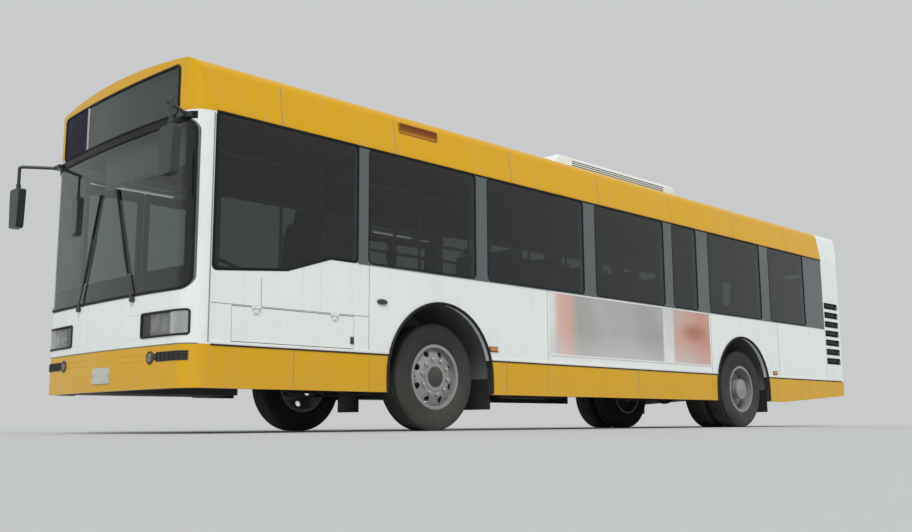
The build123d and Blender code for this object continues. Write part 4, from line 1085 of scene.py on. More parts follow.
def paths_curve(paths: Iterable[Sequence[Point]], closed: bool) -> bpy.types.Curve:
    """Curve data with one straight-run spline for each path.

    Args:
        paths: Points of each path.
        closed: True where each path joins its own start.

    Returns:
        The curve.
    """
    curve = bpy.data.curves.new("paths", "CURVE")
    curve.dimensions = "3D"
    for path in paths:
        spline = curve.splines.new("POLY")
        spline.points.add(len(path) - 1)
        for point, place in zip(spline.points, path):
            point.co = (*place, 1.0)
        spline.use_cyclic_u = closed
    return curve


def points_mesh(places: Sequence[tuple[Point, Point]]) -> bpy.types.Mesh:
    """Loose points with a facing direction each.

    Args:
        places: Place and facing of each point.

    Returns:
        The mesh.
    """
    mesh = bpy.data.meshes.new("places")
    mesh.from_pydata([place for place, _ in places], [], [])
    facing = mesh.attributes.new("facing", "FLOAT_VECTOR", "POINT")
    for value, (_, direction) in zip(facing.data, places):
        value.vector = direction
    return mesh


# Sub-assemblies


@dataclass
class Coach:
    """Where the outer skin of the bus lies, as every sub-assembly knows it."""

    half: float = 1.25
    nose: float = 5.63
    tail: float = -5.87
    nose_bow: float = 0.06
    tail_bow: float = 0.03
    nose_corner: float = 0.18
    tail_corner: float = 0.12
    seam: float = 5.4
    rear_seam: float = -5.7
    skirt: float = 0.342
    rail: float = 0.673
    sill: float = 1.465
    window_top: float = 2.5
    band_start: float = -5.19
    cant: float = 2.54
    eave: float = 2.93
    eave_inset: float = 0.06
    roof: float = 3.0
    front_axle: float = 2.91
    rear_axle: float = -2.69
    axle_height: float = 0.5
    arch: float = 0.68
    windows: tuple[Span, ...] = (
        (2.453, 3.819), (0.725, 2.28), (-0.87, 0.506), (-1.618, -1.068), (-3.262, -1.907), (-4.582, -3.518),
    )
    cab: tuple[Flat, ...] = (
        (3.945, 2.5), (5.37, 2.5), (5.37, 1.255), (4.679, 1.32), (4.237, 1.465), (3.945, 1.465),
    )
    doorways: tuple[Span, ...] = ((4.05, 5.3), (0.719948, 1.969948))

    def end_reach(self, y: float, reach: float, bow: float, corner: float) -> float:
        """Distance of a bowed end from the middle line.

        Args:
            y: Place across the bus.
            reach: Distance at the middle.
            bow: How far the sides lie back.
            corner: Radius of the corner.

        Returns:
            The distance along the bus.
        """
        radius = (self.half**2 + bow**2) / (2 * bow)
        centre = reach - radius
        corner_y = self.half - corner
        touch = corner_y * radius / (radius - corner)
        y = min(abs(y), self.half)
        if y <= touch:
            return centre + math.sqrt(radius**2 - y**2)
        corner_x = centre + math.sqrt((radius - corner) ** 2 - corner_y**2)
        return corner_x + math.sqrt(max(corner**2 - (y - corner_y) ** 2, 0.0))

    def on_nose(self, y: float, z: float, proud: float) -> Point:
        """Point that stands proud of the front face."""
        return (self.end_reach(y, self.nose, self.nose_bow, self.nose_corner) + proud, y, z)

    def on_tail(self, y: float, z: float, proud: float) -> Point:
        """Point that stands proud of the rear face."""
        return (-self.end_reach(y, -self.tail, self.tail_bow, self.tail_corner) - proud, y, z)

    def nose_face(self, proud: float) -> Callable[[float, float], Point]:
        """Face that follows the nose at a distance, as a function of Y and Z."""
        return lambda y, z: self.on_nose(y, z, proud)

    def wall(self, side: Side, proud: float) -> float:
        """Y of a face that stands proud of a side."""
        return side.value * (self.half + proud)

    def cove_y(self, z: float) -> float:
        """Half width of the body at a height beside or above the windows."""
        rise = (z - self.cant) / (self.eave - self.cant)
        return self.half - self.eave_inset * min(max(rise, 0.0), 1.0)

    def in_doorway(self, side: Side, x: float, margin: float = 0.0) -> bool:
        """Tells whether a place along a side lies in a doorway or within a margin of one."""
        return side is Side.RIGHT and any(low - margin < x < high + margin for low, high in self.doorways)

    def window_outlines(self, side: Side, corner: float) -> list[list[Flat]]:
        """Outlines of a side's fixed windows, without the one that a doorway takes."""
        spans = [span for span in self.windows if side is Side.LEFT or span != self.windows[1]]
        return [box_outline(span, (self.sill, self.window_top), corner) for span in spans]


def upright(flat: Iterable[Flat], y: float) -> list[Point]:
    """An outline of X and Z at one place across the bus."""
    return [(x, y, z) for x, z in flat]


@dataclass
class Assembly(Coach):
    """A sub-assembly that is fitted to the coach's skin."""

    def bead(
        self, name: str, paths: Iterable[Sequence[Point]], radius: float, closed: bool = False,
        sides: int = 8, **look: Any,
    ) -> None:
        """Lays a round bead along paths.

        Args:
            name: Name of the piece.
            paths: Points of each path.
            radius: Radius of the bead.
            closed: True where each path joins its own start.
            sides: Steps around the bead.
            look: Finish, slot and body, where it isn't rubber on the coachwork.
        """
        bead_recipe().grow(name, paths_curve(paths, closed), Radius=radius, Sides=sides, **look)


@dataclass
class Glass(Assembly):
    """Seals, pillar covers, the printed border of the windscreen and the sign box."""

    seal: float = 0.0085
    end_seal: float = 0.01
    corner: float = 0.045
    cover: float = 0.004
    cover_z: Span = (1.447, 2.508)
    cover_end: float = 3.938
    door_gap: float = 0.006
    screen: Four = (1.205, 1.1, 2.42, 0.09)
    sign: Four = (1.02, 2.49, 2.89, 0.04)
    rear: Four = (0.82, 2.0, 2.44, 0.045)
    print_low: float = 0.17
    print_high: float = 0.05
    print_side: float = 0.055
    divider: float = -0.5

    def build(self) -> None:
        """Makes every piece of the glazing."""
        for side in Side:
            self.side_seals(side)
            self.pillar_covers(side)
        self.end_seals()
        self.printed_border()
        self.sign_box()
        self.header_strip()

    def side_seals(self, side: Side) -> None:
        """Rubber round the windows of one side.

        Args:
            side: The side.
        """
        flats = self.window_outlines(side, self.corner)
        if side is Side.LEFT:
            flats.append(rounded(self.cab, self.corner))
        paths = [upright(flat, self.wall(side, 0.001)) for flat in flats]
        self.bead(f"window_seals_{side.word}", paths, self.seal, closed=True, sides=10)

    def pillar_covers(self, side: Side) -> None:
        """Grey film on the pillars between the windows of one side.

        Args:
            side: The side.
        """
        spans = [(self.band_start, self.cover_end)]
        if side is Side.RIGHT:
            (front_start, _), middle = self.doorways
            start, end = inset(middle, -self.door_gap)
            spans = [(self.band_start, start), (end, front_start - self.door_gap)]
        form = Form()
        y = self.wall(side, 0.0)
        for low, high in spans:
            flats = self.window_outlines(side, self.corner)
            holes = [upright(flat, y) for flat in flats if low < min(flat)[0] < high]
            outline = upright(box_outline((low, high), self.cover_z, 0.004, 2), y)
            form.plate(outline, holes, (0.0, side.value * self.cover, 0.0))
        form.piece(f"pillar_covers_{side.word}", PILLAR, "door_frame")

    def end_seals(self) -> None:
        """Rubber round the windscreen, the sign and the rear window."""
        paths = []
        for half, low, high, radius in (self.screen, self.sign):
            flat = dense(box_outline((-half, half), (low, high), radius, 8), 0.02)
            paths.append([self.on_nose(y, z, 0.001) for y, z in flat])
        self.bead("front_screen_seals", paths, self.end_seal, closed=True, sides=10)
        half, low, high, radius = self.rear
        flat = dense(box_outline((-half, half), (low, high), radius), 0.06)
        paths = [[self.on_tail(y, z, 0.001) for y, z in flat]]
        self.bead("rear_window_seal", paths, self.end_seal, closed=True, sides=10)

    def printed_border(self) -> None:
        """Black border printed on the inside of the windscreen."""
        half, low, high, _ = self.screen
        form = Form()
        glass, edge = self.nose_face(-0.0085), half - 0.01
        foot, head = (low + 0.004, low + self.print_low), (high - self.print_high, high - 0.004)
        form.sheet(glass, (-edge, edge), foot, (120, 2), 0.004)
        form.sheet(glass, (-edge, edge), head, (120, 1), 0.004)
        for side in Side:
            y = (side.value * edge - side.value * self.print_side, side.value * edge)
            form.sheet(glass, y, (foot[1], head[0]), (4, 8), 0.004)
        form.piece("windscreen_border", CERAMIC)

    def header_strip(self) -> None:
        """Black cover between the windscreen and the sign."""
        half, z = self.screen[0], (self.screen[2] + 0.006, self.sign[1] - 0.004)
        form = Form()
        form.sheet(self.nose_face(0.003), (-half, half), z, (160, 1), 0.004)
        form.piece("header_strip", CERAMIC)

    def sign_box(self) -> None:
        """Panel, number box, divider and frame behind the sign glass."""
        half, low, high, _ = self.sign
        panel, number, post, frame = Form(), Form(), Form(), Form()
        y, z = (self.divider + 0.02, half - 0.05), (low + 0.03, high - 0.03)
        panel.sheet(self.nose_face(-0.05), y, z, (24, 4), 0.01)
        panel.piece("sign_display", SIGN_PANEL, "cab_dark")
        y, z = (-half + 0.012, self.divider - 0.02), (low + 0.012, high - 0.012)
        number.sheet(self.nose_face(0.002), y, z, (24, 4), 0.003)
        number.piece("sign_number_box", ROUTE_PANEL, "cab_dark")
        x, y, _ = self.on_nose(self.divider, low, 0.0)
        post.block((x - 0.002, x + 0.006), about(y, 0.018), (low + 0.008, high - 0.008), 0.003)
        post.piece("sign_divider", LINING, "cab_dark")
        for y in (-half + 0.02, half - 0.02):
            x = self.on_nose(y, low, 0.0)[0]
            frame.block((x - 0.06, x - 0.012), about(y, 0.012), (low + 0.005, high - 0.005), 0.003)
        for z in (low + 0.012, high - 0.012):
            y = (-half + 0.03, half - 0.03)
            frame.sheet(self.nose_face(-0.012), y, about(z, 0.01), (30, 1), 0.045)
        frame.piece("sign_frame", PLASTIC, "cab_dark")


@dataclass
class Sides(Assembly):
    """Trim, joints, lamps and panels along both sides."""

    poster: Four = (-1.87, 1.35, 0.775, 1.435)
    joints: tuple[float, ...] = (4.93, 3.81, 1.37, -1.9, -3.7, -5.2)
    skirt_joints: tuple[float, ...] = (4.6, 3.8, 2.02, 1.37, -0.25, -1.9, -3.62, -4.6)
    cove_joints: tuple[float, ...] = (4.76, 3.5, 1.9, 0.4, -1.1, -2.6, -4.1)
    joint: float = 0.0022
    flap_x: Span = (3.81, 5.2)
    flap_top: float = 0.99
    engine_skirt: float = -3.84
    marker_places: tuple[Flat, ...] = ((2.21, 0.785), (-3.56, 0.735))
    vent: tuple[Span, Span] = ((2.95, 3.43), (2.745, 2.835))
    lock: Flat = (4.00, 0.775)
    repeater: Flat = (3.66, 1.135)
    repeater_half: Flat = (0.062, 0.026)
    louvres: int = 7
    louvre_foot: float = 0.93
    louvre_pitch: float = 0.14

    def build(self) -> None:
        """Makes every piece of the sides."""
        for side in Side:
            self.arch_lips(side)
            self.waist_strip(side)
            self.panel_joints(side)
            self.gutter(side)
            self.markers(side)
        self.side_poster()
        self.cove_vent()
        self.locks()
        self.louvre_linings()

    def arch_lips(self, side: Side) -> None:
        """Rubber lip round both wheel arches of a side.

        Args:
            side: The side.
        """
        radius, foot = self.arch, self.skirt + 0.01
        flats = []
        for centre in (self.front_axle, self.rear_axle):
            angles = [math.radians(degrees) for degrees in range(0, 181, 6)]
            arc = [(centre + radius * math.cos(a), self.axle_height + radius * math.sin(a)) for a in angles]
            flats.append([(centre + radius, foot), *arc, (centre - radius, foot)])
        paths = [upright(flat, self.wall(side, 0.003)) for flat in flats]
        self.bead(f"arch_lips_{side.word}", paths, 0.014, sides=10)

    def clear_runs(self, side: Side, z: float, start: float, end: float) -> list[Span]:
        """Stretches of a side at a height, without arches and doorways.

        Args:
            side: The side.
            z: The height.
            start: Rear end.
            end: Front end.

        Returns:
            The stretches.
        """
        reach = math.sqrt(max(self.arch**2 - (z - self.axle_height) ** 2, 0.0))
        cuts = [(axle - reach, axle + reach) for axle in (self.front_axle, self.rear_axle)]
        if side is Side.RIGHT:
            cuts += list(self.doorways)
        runs, here = [], start
        for low, high in sorted(cuts):
            if low > here:
                runs.append((here, min(low, end)))
            here = max(here, high)
        if here < end:
            runs.append((here, end))
        return runs

    def waist_strip(self, side: Side) -> None:
        """White rubbing strip with its dark foot along the rail.

        Args:
            side: The side.
        """
        strip, foot = Form(), Form()
        rail, skin = self.rail, self.wall(side, -0.002)
        for start, end in self.clear_runs(side, rail, self.rear_seam + 0.02, self.seam - 0.01):
            x = (start + 0.012, end - 0.012)
            strip.block(x, (skin, self.wall(side, 0.01)), (rail + 0.002, rail + 0.026), 0.004)
            foot.block(x, (skin, self.wall(side, 0.006)), (rail - 0.01, rail + 0.001), 0.002)
        strip.piece(f"waist_strip_{side.word}", TRIM_WHITE, "body_white")
        foot.piece(f"waist_insert_{side.word}", SEAL)

    def panel_joints(self, side: Side) -> None:
        """Sealed joints between the panels and along the cove.

        Args:
            side: The side.
        """
        form, left = Form(), side is Side.LEFT
        y = (self.wall(side, -0.001), self.wall(side, 0.0012))
        spans = []
        for x in self.joints:
            low = self.flap_top if left and self.flap_x[0] < x < self.flap_x[1] else self.rail + 0.03
            high = self.cab[2][1] - 0.03 if left and x >= self.cab[4][0] else self.sill - 0.02
            spans.append((x, low, high))
        for x in self.skirt_joints:
            low = self.skirt + (0.03 if x > self.engine_skirt else 0.13)
            spans.append((x, low, self.rail - 0.014))
        for x, low, high in spans:
            if not self.in_doorway(side, x):
                form.block(about(x, self.joint), y, (low, high))
        if left:
            form.block((self.flap_x[0], self.seam - 0.01), y, (self.flap_top, self.flap_top + 0.0045))
        form.piece(f"panel_joints_{side.word}", SEALANT, "body_white")
        heights = (2.515, 2.54, 2.62, 2.72, 2.8, 2.86)
        paths = [[(x, side.value * (self.cove_y(z) - 0.0015), z) for z in heights] for x in self.cove_joints]
        self.bead(f"cove_joints_{side.word}", paths, 0.0035, finish=SEALANT, slot="body_yellow")

    def gutter(self, side: Side) -> None:
        """Black drip strip over the windows, whose black also paints the shadow line under the cove.

        Args:
            side: The side.
        """
        z = self.window_top + 0.006
        path = upright(((self.band_start, z), (5.38, z)), self.wall(side, 0.002))
        # Black rubber bead as the drip strip and as painted shadow under the cove.
        self.bead(f"drip_strip_{side.word}", [path], 0.01)

    def markers(self, side: Side) -> None:
        """Amber side marker lamps in black bezels.

        Args:
            side: The side.
        """
        lens, bezel = Form(), Form()
        inner, outer, rim = (self.wall(side, proud) for proud in (-0.002, 0.016, 0.008))
        for x, z in self.marker_places:
            if not self.in_doorway(side, x, 0.1):
                bezel.block(about(x, 0.062), (inner, rim), about(z, 0.026), 0.004)
                lens.block(about(x, 0.052), (inner, outer), about(z, 0.018), 0.006, 3)
        lens.piece(f"marker_lenses_{side.word}", LENS_AMBER, "lamp_red")
        bezel.piece(f"marker_bezels_{side.word}", PLASTIC)

    def side_poster(self) -> None:
        """Printed panel between the axles on the driver's side, in a pale frame."""
        low, high, foot, head = self.poster
        form, frame = Form(), Form()
        y, rim = (self.half - 0.001, self.half + 0.003), 0.008
        form.block((low, high), y, (foot, head), 0.001, 1)
        form.piece("side_poster", POSTER, "body_white")
        y = (y[0], self.half + 0.006)
        for z in (foot, head):
            frame.block((low - rim, high + rim), y, about(z, rim), 0.002)
        for x in (low, high):
            frame.block(about(x, rim), y, (foot, head), 0.002)
        frame.piece("side_poster_frame", TRIM_WHITE, "body_white")

    def cove_vent(self) -> None:
        """Slatted air vent in the cove above the driver's compartment."""
        x, z = self.vent
        frame = Form()
        outer, rim = self.cove_y(z[0]) + 0.004, 0.006
        y = (outer - 0.03, outer)
        for height in z:
            frame.block(x, y, about(height, rim), 0.002)
        for place in x:
            frame.block(about(place, rim), y, z, 0.002)
        frame.block(x, (outer - 0.035, outer - 0.012), z)
        frame.piece("cove_vent_frame", VENT_BROWN, "body_yellow")
        slat_recipe().grow(
            "cove_vent_slats", points_mesh([]), VENT_BROWN, "body_yellow", Count=7, Width=0.003, Height=0.01,
            First=(3.19, outer - 0.008, 2.757), Step=(0.0, 0.0, 0.011), Half=(0.236, 0.0, 0.0),
            Corner=0.001, Tilt=(0.6, 0.0, 0.0),
        )

    def locks(self) -> None:
        """Square lock of the flap and oval lamp ahead of the front arch."""
        half, (x, z) = self.half, self.lock
        lock, lamp = Form(), Form()
        lock.block(about(x, 0.018), (half - 0.002, half + 0.01), about(z, 0.03), 0.004)
        lock.turn(((0.0, 0.012), (0.006, 0.012), (0.008, 0.009)), (x, half + 0.009, z), ACROSS, 20)
        lock.piece("flap_lock", PLASTIC, body="service_flap")
        (x, z), (wide, tall) = self.repeater, self.repeater_half
        rings = []
        for proud, share in ((-0.002, 1.0), (0.01, 0.97), (0.018, 0.82), (0.022, 0.4)):
            angles = [2 * math.pi * step / 20 for step in range(20)]
            flat = [(x + wide * share * math.cos(a), z + tall * share * math.sin(a)) for a in angles]
            rings.append([Vector(point) for point in upright(flat, half + proud)])
        lamp.rings(rings)
        lamp.piece("side_repeater", LENS_SMOKED)

    def louvre_linings(self) -> None:
        """Dark lining in each air inlet slot, with a rubber edge."""
        form, paths, half = Form(), [], self.half
        for slot in range(self.louvres):
            low = self.louvre_foot + self.louvre_pitch * slot
            form.block((-5.6695, -5.2305), (1.15, half - 0.012), (low + 0.0005, low + 0.0845), 0.004)
            flat = box_outline((-5.668, -5.232), (low + 0.002, low + 0.083), 0.012, 3)
            paths.append(upright(flat, half + 0.001))
        form.piece("louvre_linings", CERAMIC)
        self.bead("louvre_edges", paths, 0.006, closed=True)


@dataclass
class FrontEnd(Assembly):
    """Headlamps, fog lamps, grilles, wipers and plate."""

    opening: Span = (0.36, 1.03)
    lamp: Span = (0.62, 1.2)
    lamp_z: Span = (0.745, 0.93)
    dark_end: float = 0.745
    bowl: float = 0.07
    bowl_places: Span = (0.82, 0.955)
    slot: float = 0.3
    grille: Span = (0.85, 1.2)
    slot_z: Span = (0.56, 0.61)
    fog: Flat = (0.765, 0.583)
    plate_half: float = 0.15
    plate_z: Span = (0.405, 0.535)

    def build(self) -> None:
        """Makes every piece of the front."""
        self.pans()
        self.bowls()
        self.covers()
        self.dark_blocks()
        self.fog_lamps()
        self.blanks()
        self.rims()
        self.grilles()
        self.joints()
        self.plate()
        self.wiper_blades()

    def skin(self, form: Form, y: Span, z: Span, proud: float, depth: float) -> None:
        """Adds a plate that follows the nose on both sides of the bus.

        Args:
            form: Mesh that takes the plate.
            y: Distances from the middle line.
            z: Heights.
            proud: How far it stands in front of the skin.
            depth: Its thickness.
        """
        steps = max(2, math.ceil((y[1] - y[0]) / 0.015))
        for side in Side:
            reach = sorted(side.value * edge for edge in y)
            form.sheet(self.nose_face(proud), reach, z, (steps, 2), depth)

    def stand_in(self, form: Form, name: str, finish: Finish) -> None:
        """Places a piece that stands for the plain lamp blocks."""
        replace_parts(form.piece(name, finish, "lamp_clear"), "front_lamps")

    def pans(self) -> None:
        """Reflecting backs of the headlamps."""
        form, y = Form(), (self.lamp[0] + 0.003, self.opening[1] - 0.002)
        self.skin(form, y, inset(self.lamp_z, 0.003), -0.05, 0.006)
        self.stand_in(form, "headlamp_pans", ALUMINIUM)

    def bowls(self) -> None:
        """Two polished reflector bowls in each headlamp."""
        form = Form()
        outside = ((-0.002, 0.01), (0.0, self.bowl * 0.6), (0.036, self.bowl + 0.004))
        inside = ((0.036, self.bowl), (0.012, self.bowl * 0.62), (0.0, 0.018))
        bulb = ((0.004, 0.012), (0.026, 0.011), (0.028, 0.008))
        for side in Side:
            for y in self.bowl_places:
                origin = self.on_nose(side.value * y, sum(self.lamp_z) / 2, -0.048)
                form.turn((*outside, *inside, *bulb), origin, AHEAD)
        self.stand_in(form, "headlamp_bowls", STEEL)

    def covers(self) -> None:
        """Clear covers over the bowls and ribbed indicator lenses round the corners."""
        form, z = Form(), inset(self.lamp_z, 0.006)
        self.skin(form, (self.dark_end + 0.004, self.opening[1] - 0.002), z, -0.002, 0.004)
        self.skin(form, (self.opening[1] + 0.002, self.lamp[1] - 0.006), z, 0.007, 0.006)
        self.stand_in(form, "headlamp_covers", LENS_CLEAR)

    def dark_blocks(self) -> None:
        """Smoked ends of the headlamps nearest the middle."""
        form = Form()
        self.skin(form, (self.lamp[0] + 0.005, self.dark_end), inset(self.lamp_z, 0.005), -0.002, 0.03)
        self.stand_in(form, "headlamp_dark_ends", LENS_SMOKED)

    def fog_lamps(self) -> None:
        """Round fog lamps beside the grilles."""
        form, (y, z) = Form(), self.fog
        profile = (
            (-0.055, 0.018), (-0.04, 0.024), (-0.001, 0.024), (0.0, 0.038),
            (0.008, 0.036), (0.013, 0.022), (0.014, 0.004),
        )
        for side in Side:
            form.turn(profile, self.on_nose(side.value * y, z, 0.001), AHEAD, 28)
        self.stand_in(form, "fog_lamps", LENS_CLEAR)

    def blanks(self) -> None:
        """Panels that close the inner ends of the lamp and grille openings."""
        white, yellow = Form(), Form()
        y, z = (self.opening[0] + 0.001, self.lamp[0] + 0.004), inset(self.lamp_z, 0.001)
        self.skin(white, y, z, -0.0005, 0.02)
        white.piece("lamp_blanks", WHITE_PAINT, "body_white")
        y, z = (self.slot + 0.001, self.fog[0] - 0.02), inset(self.slot_z, 0.001)
        self.skin(yellow, y, z, -0.0005, 0.02)
        yellow.piece("grille_blanks", LOW_PAINT, "body_yellow")

    def rims(self) -> None:
        """Dark rim round each headlamp and ring round each fog lamp."""
        paths, rings = [], Form()
        profile = ((-0.004, 0.038), (0.01, 0.038), (0.014, 0.041), (0.01, 0.049), (-0.004, 0.052))
        for side in Side:
            y = [side.value * edge for edge in self.lamp]
            flat = dense(box_outline(y, self.lamp_z, 0.018), 0.015)
            paths.append([self.on_nose(*spot, 0.002) for spot in flat])
            origin = self.on_nose(side.value * self.fog[0], self.fog[1], 0.0)
            rings.ring(profile, origin, AHEAD, 32)
        self.bead("headlamp_rims", paths, 0.009, closed=True, sides=10)
        rings.piece("fog_rings", PLASTIC)

    def grilles(self) -> None:
        """Black grilles with ribs beside the fog lamps."""
        low, high = self.slot_z[0] - 0.012, self.slot_z[1] + 0.012
        back, paths = Form(), []
        self.skin(back, self.grille, (low, high), 0.003, 0.008)
        back.piece("bumper_grille_backs", PLASTIC)
        for side in Side:
            for row in range(4):
                ends = [(side.value * y, low + 0.01 + row * 0.018) for y in inset(self.grille, 0.006)]
                run = dense(ends, 0.015, closed=False)
                paths.append([self.on_nose(*spot, 0.005) for spot in run])
            for column in range(7):
                y = side.value * (self.grille[0] + 0.008 + column * 0.0555)
                paths.append([self.on_nose(y, z, 0.006) for z in inset((low, high), 0.004)])
        self.bead("bumper_grille_ribs", paths, 0.004)

    def joints(self) -> None:
        """Joint over the bumper and the sealed corner joints."""
        height = self.rail + 0.002
        over = dense([(-1.235, height), (1.235, height)], 0.02, closed=False)
        paths = [[self.on_nose(*spot, -0.0005) for spot in over]]
        for side in Side:
            y = self.wall(side, 0.0005)
            paths.append([(self.seam, y, z) for z in (0.69, 1.5, 2.49)])
        self.bead("front_panel_joints", paths, 0.0045, finish=SEALANT, slot="body_white")

    def plate(self) -> None:
        """Blank pale plate on the bumper, with its screws."""
        form, half = Form(), self.plate_half
        form.sheet(self.nose_face(0.008), (-half, half), self.plate_z, (4, 2), 0.009)
        form.piece("front_plate", PLATE, "hatch_grey")
        z = sum(self.plate_z) / 2
        screws = points_mesh([(self.on_nose(y, z, 0.009), AHEAD) for y in inset((-half, half), 0.02)])
        nut_recipe().grow("front_plate_screws", screws, STEEL, "wheel_grey", Size=0.006, Height=0.004)

    def wiper_blades(self) -> None:
        """Rubber blades with their carriers on the wiper arms."""
        form = Form()
        for side in Side:
            reach = ((0.395, 1.28, 0.01585), (0.145, 2.02, 0.01383))
            ends = [Vector(self.on_nose(side.value * y, z, proud)) for y, z, proud in reach]
            form.rod(*ends, 0.008, 10)
            form.rod(*(end + Vector((-0.01, 0.0, 0.0)) for end in ends), 0.005, 8)
        form.piece("wiper_blades", SEAL)


@dataclass
class RearEnd(Assembly):
    """Hatch grille, lamp rims, reflectors, blank plate and handle at the rear."""

    hatch: str = "engine_hatch"
    grille: tuple[Span, Span] = ((-0.65, 0.65), (1.275, 1.71))
    handle_z: float = 0.83
    lamp_y: Span = (0.9, 1.06)
    lamps: tuple[Span, ...] = ((0.76, 1.18), (2.25, 2.33))
    reflector: Flat = (0.98, 0.6)

    def build(self) -> None:
        """Makes every piece of the rear."""
        self.hatch_grille()
        self.hatch_fittings()
        self.lamp_rims()
        self.reflectors()

    def hatch_grille(self) -> None:
        """Slats and frame of the engine hatch's grille."""
        tail, (y, z) = self.tail, self.grille
        slat_recipe().grow(
            "hatch_grille", points_mesh([]), PLASTIC, body=self.hatch, Count=12, Width=0.008, Height=0.016,
            First=(tail - 0.004, 0.0, 1.3), Step=(0.0, 0.0, 0.035), Half=(0.0, 0.62, 0.0),
            Corner=0.002, Tilt=(0.0, 0.5, 0.0),
        )
        frame, x = Form(), (tail - 0.01, tail + 0.02)
        for height in z:
            frame.block(x, inset(y, -0.01), about(height, 0.01), 0.003)
        for place in (y[0], 0.0, y[1]):
            frame.block(x, about(place, 0.01), z, 0.003)
        frame.piece("hatch_grille_frame", PLASTIC, body=self.hatch)

    def hatch_fittings(self) -> None:
        """Handle and blank plate of the engine hatch."""
        tail, z = self.tail, self.handle_z
        handle, plate = Form(), Form()
        handle.block((tail - 0.012, tail + 0.02), (-0.09, 0.09), about(z, 0.03), 0.006)
        handle.rod((tail - 0.02, -0.06, z), (tail - 0.02, 0.06, z), 0.008)
        for y in (-0.06, 0.06):
            handle.rod((tail - 0.02, y, z), (tail, y, z), 0.006)
        handle.piece("hatch_handle", PLASTIC, body=self.hatch)
        plate.block((tail - 0.008, tail + 0.004), (-0.26, 0.26), (0.94, 1.06), 0.003)
        plate.piece("rear_plate", PLATE, "hatch_grey", self.hatch)

    def lamp_rims(self) -> None:
        """Rubber round the lamps, and the joint under the rear panel."""
        paths = []
        for side in Side:
            for z in self.lamps:
                flat = dense(box_outline([side.value * y for y in self.lamp_y], z, 0.016), 0.06)
                paths.append([self.on_tail(*spot, 0.001) for spot in flat])
        self.bead("rear_lamp_rims", paths, 0.008, closed=True)
        z = self.rail + 0.002
        seam = [self.on_tail(-1.21 + 0.055 * step, z, -0.0005) for step in range(45)]
        self.bead("rear_panel_joints", [seam], 0.0035, finish=SEALANT, slot="body_white")

    def reflectors(self) -> None:
        """Round red reflectors under the lamps."""
        form, (y, z) = Form(), self.reflector
        profile = ((-0.002, 0.035), (0.006, 0.035), (0.01, 0.028), (0.011, 0.003))
        for side in Side:
            form.turn(profile, self.on_tail(side.value * y, z, -0.002), BACK, 28)
        form.piece("rear_reflectors", LENS_RED, "lamp_red")


@dataclass
class Wheels(Assembly):
    """Treaded tyres, nuts, hub caps and valves on the four wheel sets."""

    radius: float = 0.5
    rim: float = 0.286
    width: float = 0.28
    groove: float = 0.012
    grooves: tuple[float, ...] = (-0.086, -0.03, 0.03, 0.086)
    groove_half: float = 0.006
    groove_slope: float = 0.0015
    front_tyres: tuple[float, ...] = (1.03,)
    rear_tyres: tuple[float, ...] = (1.08, 0.75)
    front_hub: Span = (1.15, 1.144)
    rear_hub: Span = (1.2, 0.929)
    nut_count: int = 10
    nut_circle: float = 0.165

    def build(self) -> None:
        """Dresses all wheel sets."""
        for end in End:
            front = end is End.FRONT
            axle = self.front_axle if front else self.rear_axle
            for side in Side:
                name = f"{end.value}_{side.word}"
                self.tyres(name, side, axle, self.front_tyres if front else self.rear_tyres)
                self.hub(name, side, axle, end)

    def tyres(self, name: str, side: Side, axle: float, middles: Sequence[float]) -> None:
        """Tyres with ribs and grooves, in place of the plain ones.

        Args:
            name: End and side of the wheel set.
            side: Its side.
            axle: X of its axle.
            middles: Distance of each tyre from the middle line.
        """
        half, top = self.width / 2, self.radius - 0.001
        foot, slope = top - self.groove, self.groove_slope
        tread = []
        for groove in self.grooves:
            start, end = about(groove, self.groove_half)
            tread += [(start - slope, top), (start + slope, foot), (end - slope, foot), (end + slope, top)]
        flank = [
            (-0.11, self.rim + 0.006), (0.01 - half, self.rim + 0.03), (0.002 - half, self.rim + 0.07),
            (0.001 - half, self.radius - 0.08), (0.008 - half, self.radius - 0.034),
            (0.024 - half, self.radius - 0.009), (0.036 - half, top),
        ]
        mirrored = [(-reach, radius) for reach, radius in reversed(flank)]
        form = Form()
        for middle in middles:
            origin = (axle, side.value * middle, self.axle_height)
            form.ring([*flank, *tread, *mirrored, (0.0, self.rim + 0.004)], origin, (0, side.value, 0), 72)
        tyre = form.piece(f"{name}_treaded_tyre", TYRE, "tyre_rubber", f"{name}_wheel")
        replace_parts(tyre, f"{name}_tyre")

    def hub(self, name: str, side: Side, axle: float, end: End) -> None:
        """Nuts, hub cap and valve of one wheel set.

        Args:
            name: End and side of the wheel set.
            side: Its side.
            axle: X of its axle.
            end: Its end.
        """
        body, z = f"{name}_wheel", self.axle_height
        outer, face = self.front_hub if end is End.FRONT else self.rear_hub
        out = (0.0, float(side.value), 0.0)
        nuts = []
        for step in range(self.nut_count):
            angle = 2 * math.pi * (step + 0.25) / self.nut_count
            x, height = (self.nut_circle * part for part in (math.cos(angle), math.sin(angle)))
            nuts.append(((axle + x, side.value * (face + 0.008), z + height), out))
        size = dict(Size=0.017, Height=0.026)
        nut_recipe().grow(f"{name}_wheel_nuts", points_mesh(nuts), STEEL, "wheel_grey", body, **size)
        cap, valve = Form(), Form()
        dome = ((0.0, 0.1), (0.01, 0.1), (0.016, 0.094), (0.019, 0.06), (0.024, 0.052), (0.025, 0.01))
        cap.turn(dome, (axle, side.value * (outer - 0.012), z), out, 40)
        cap.piece(f"{name}_hub_cap", PLASTIC if end is End.FRONT else WHEEL, "wheel_grey", body)
        foot, tip = ((axle + x, side.value * (face + y), z) for x, y in ((0.255, -0.03), (0.25, 0.015)))
        valve.rod(foot, tip, 0.006, 8)
        valve.piece(f"{name}_valve", STEEL, "wheel_grey", body)


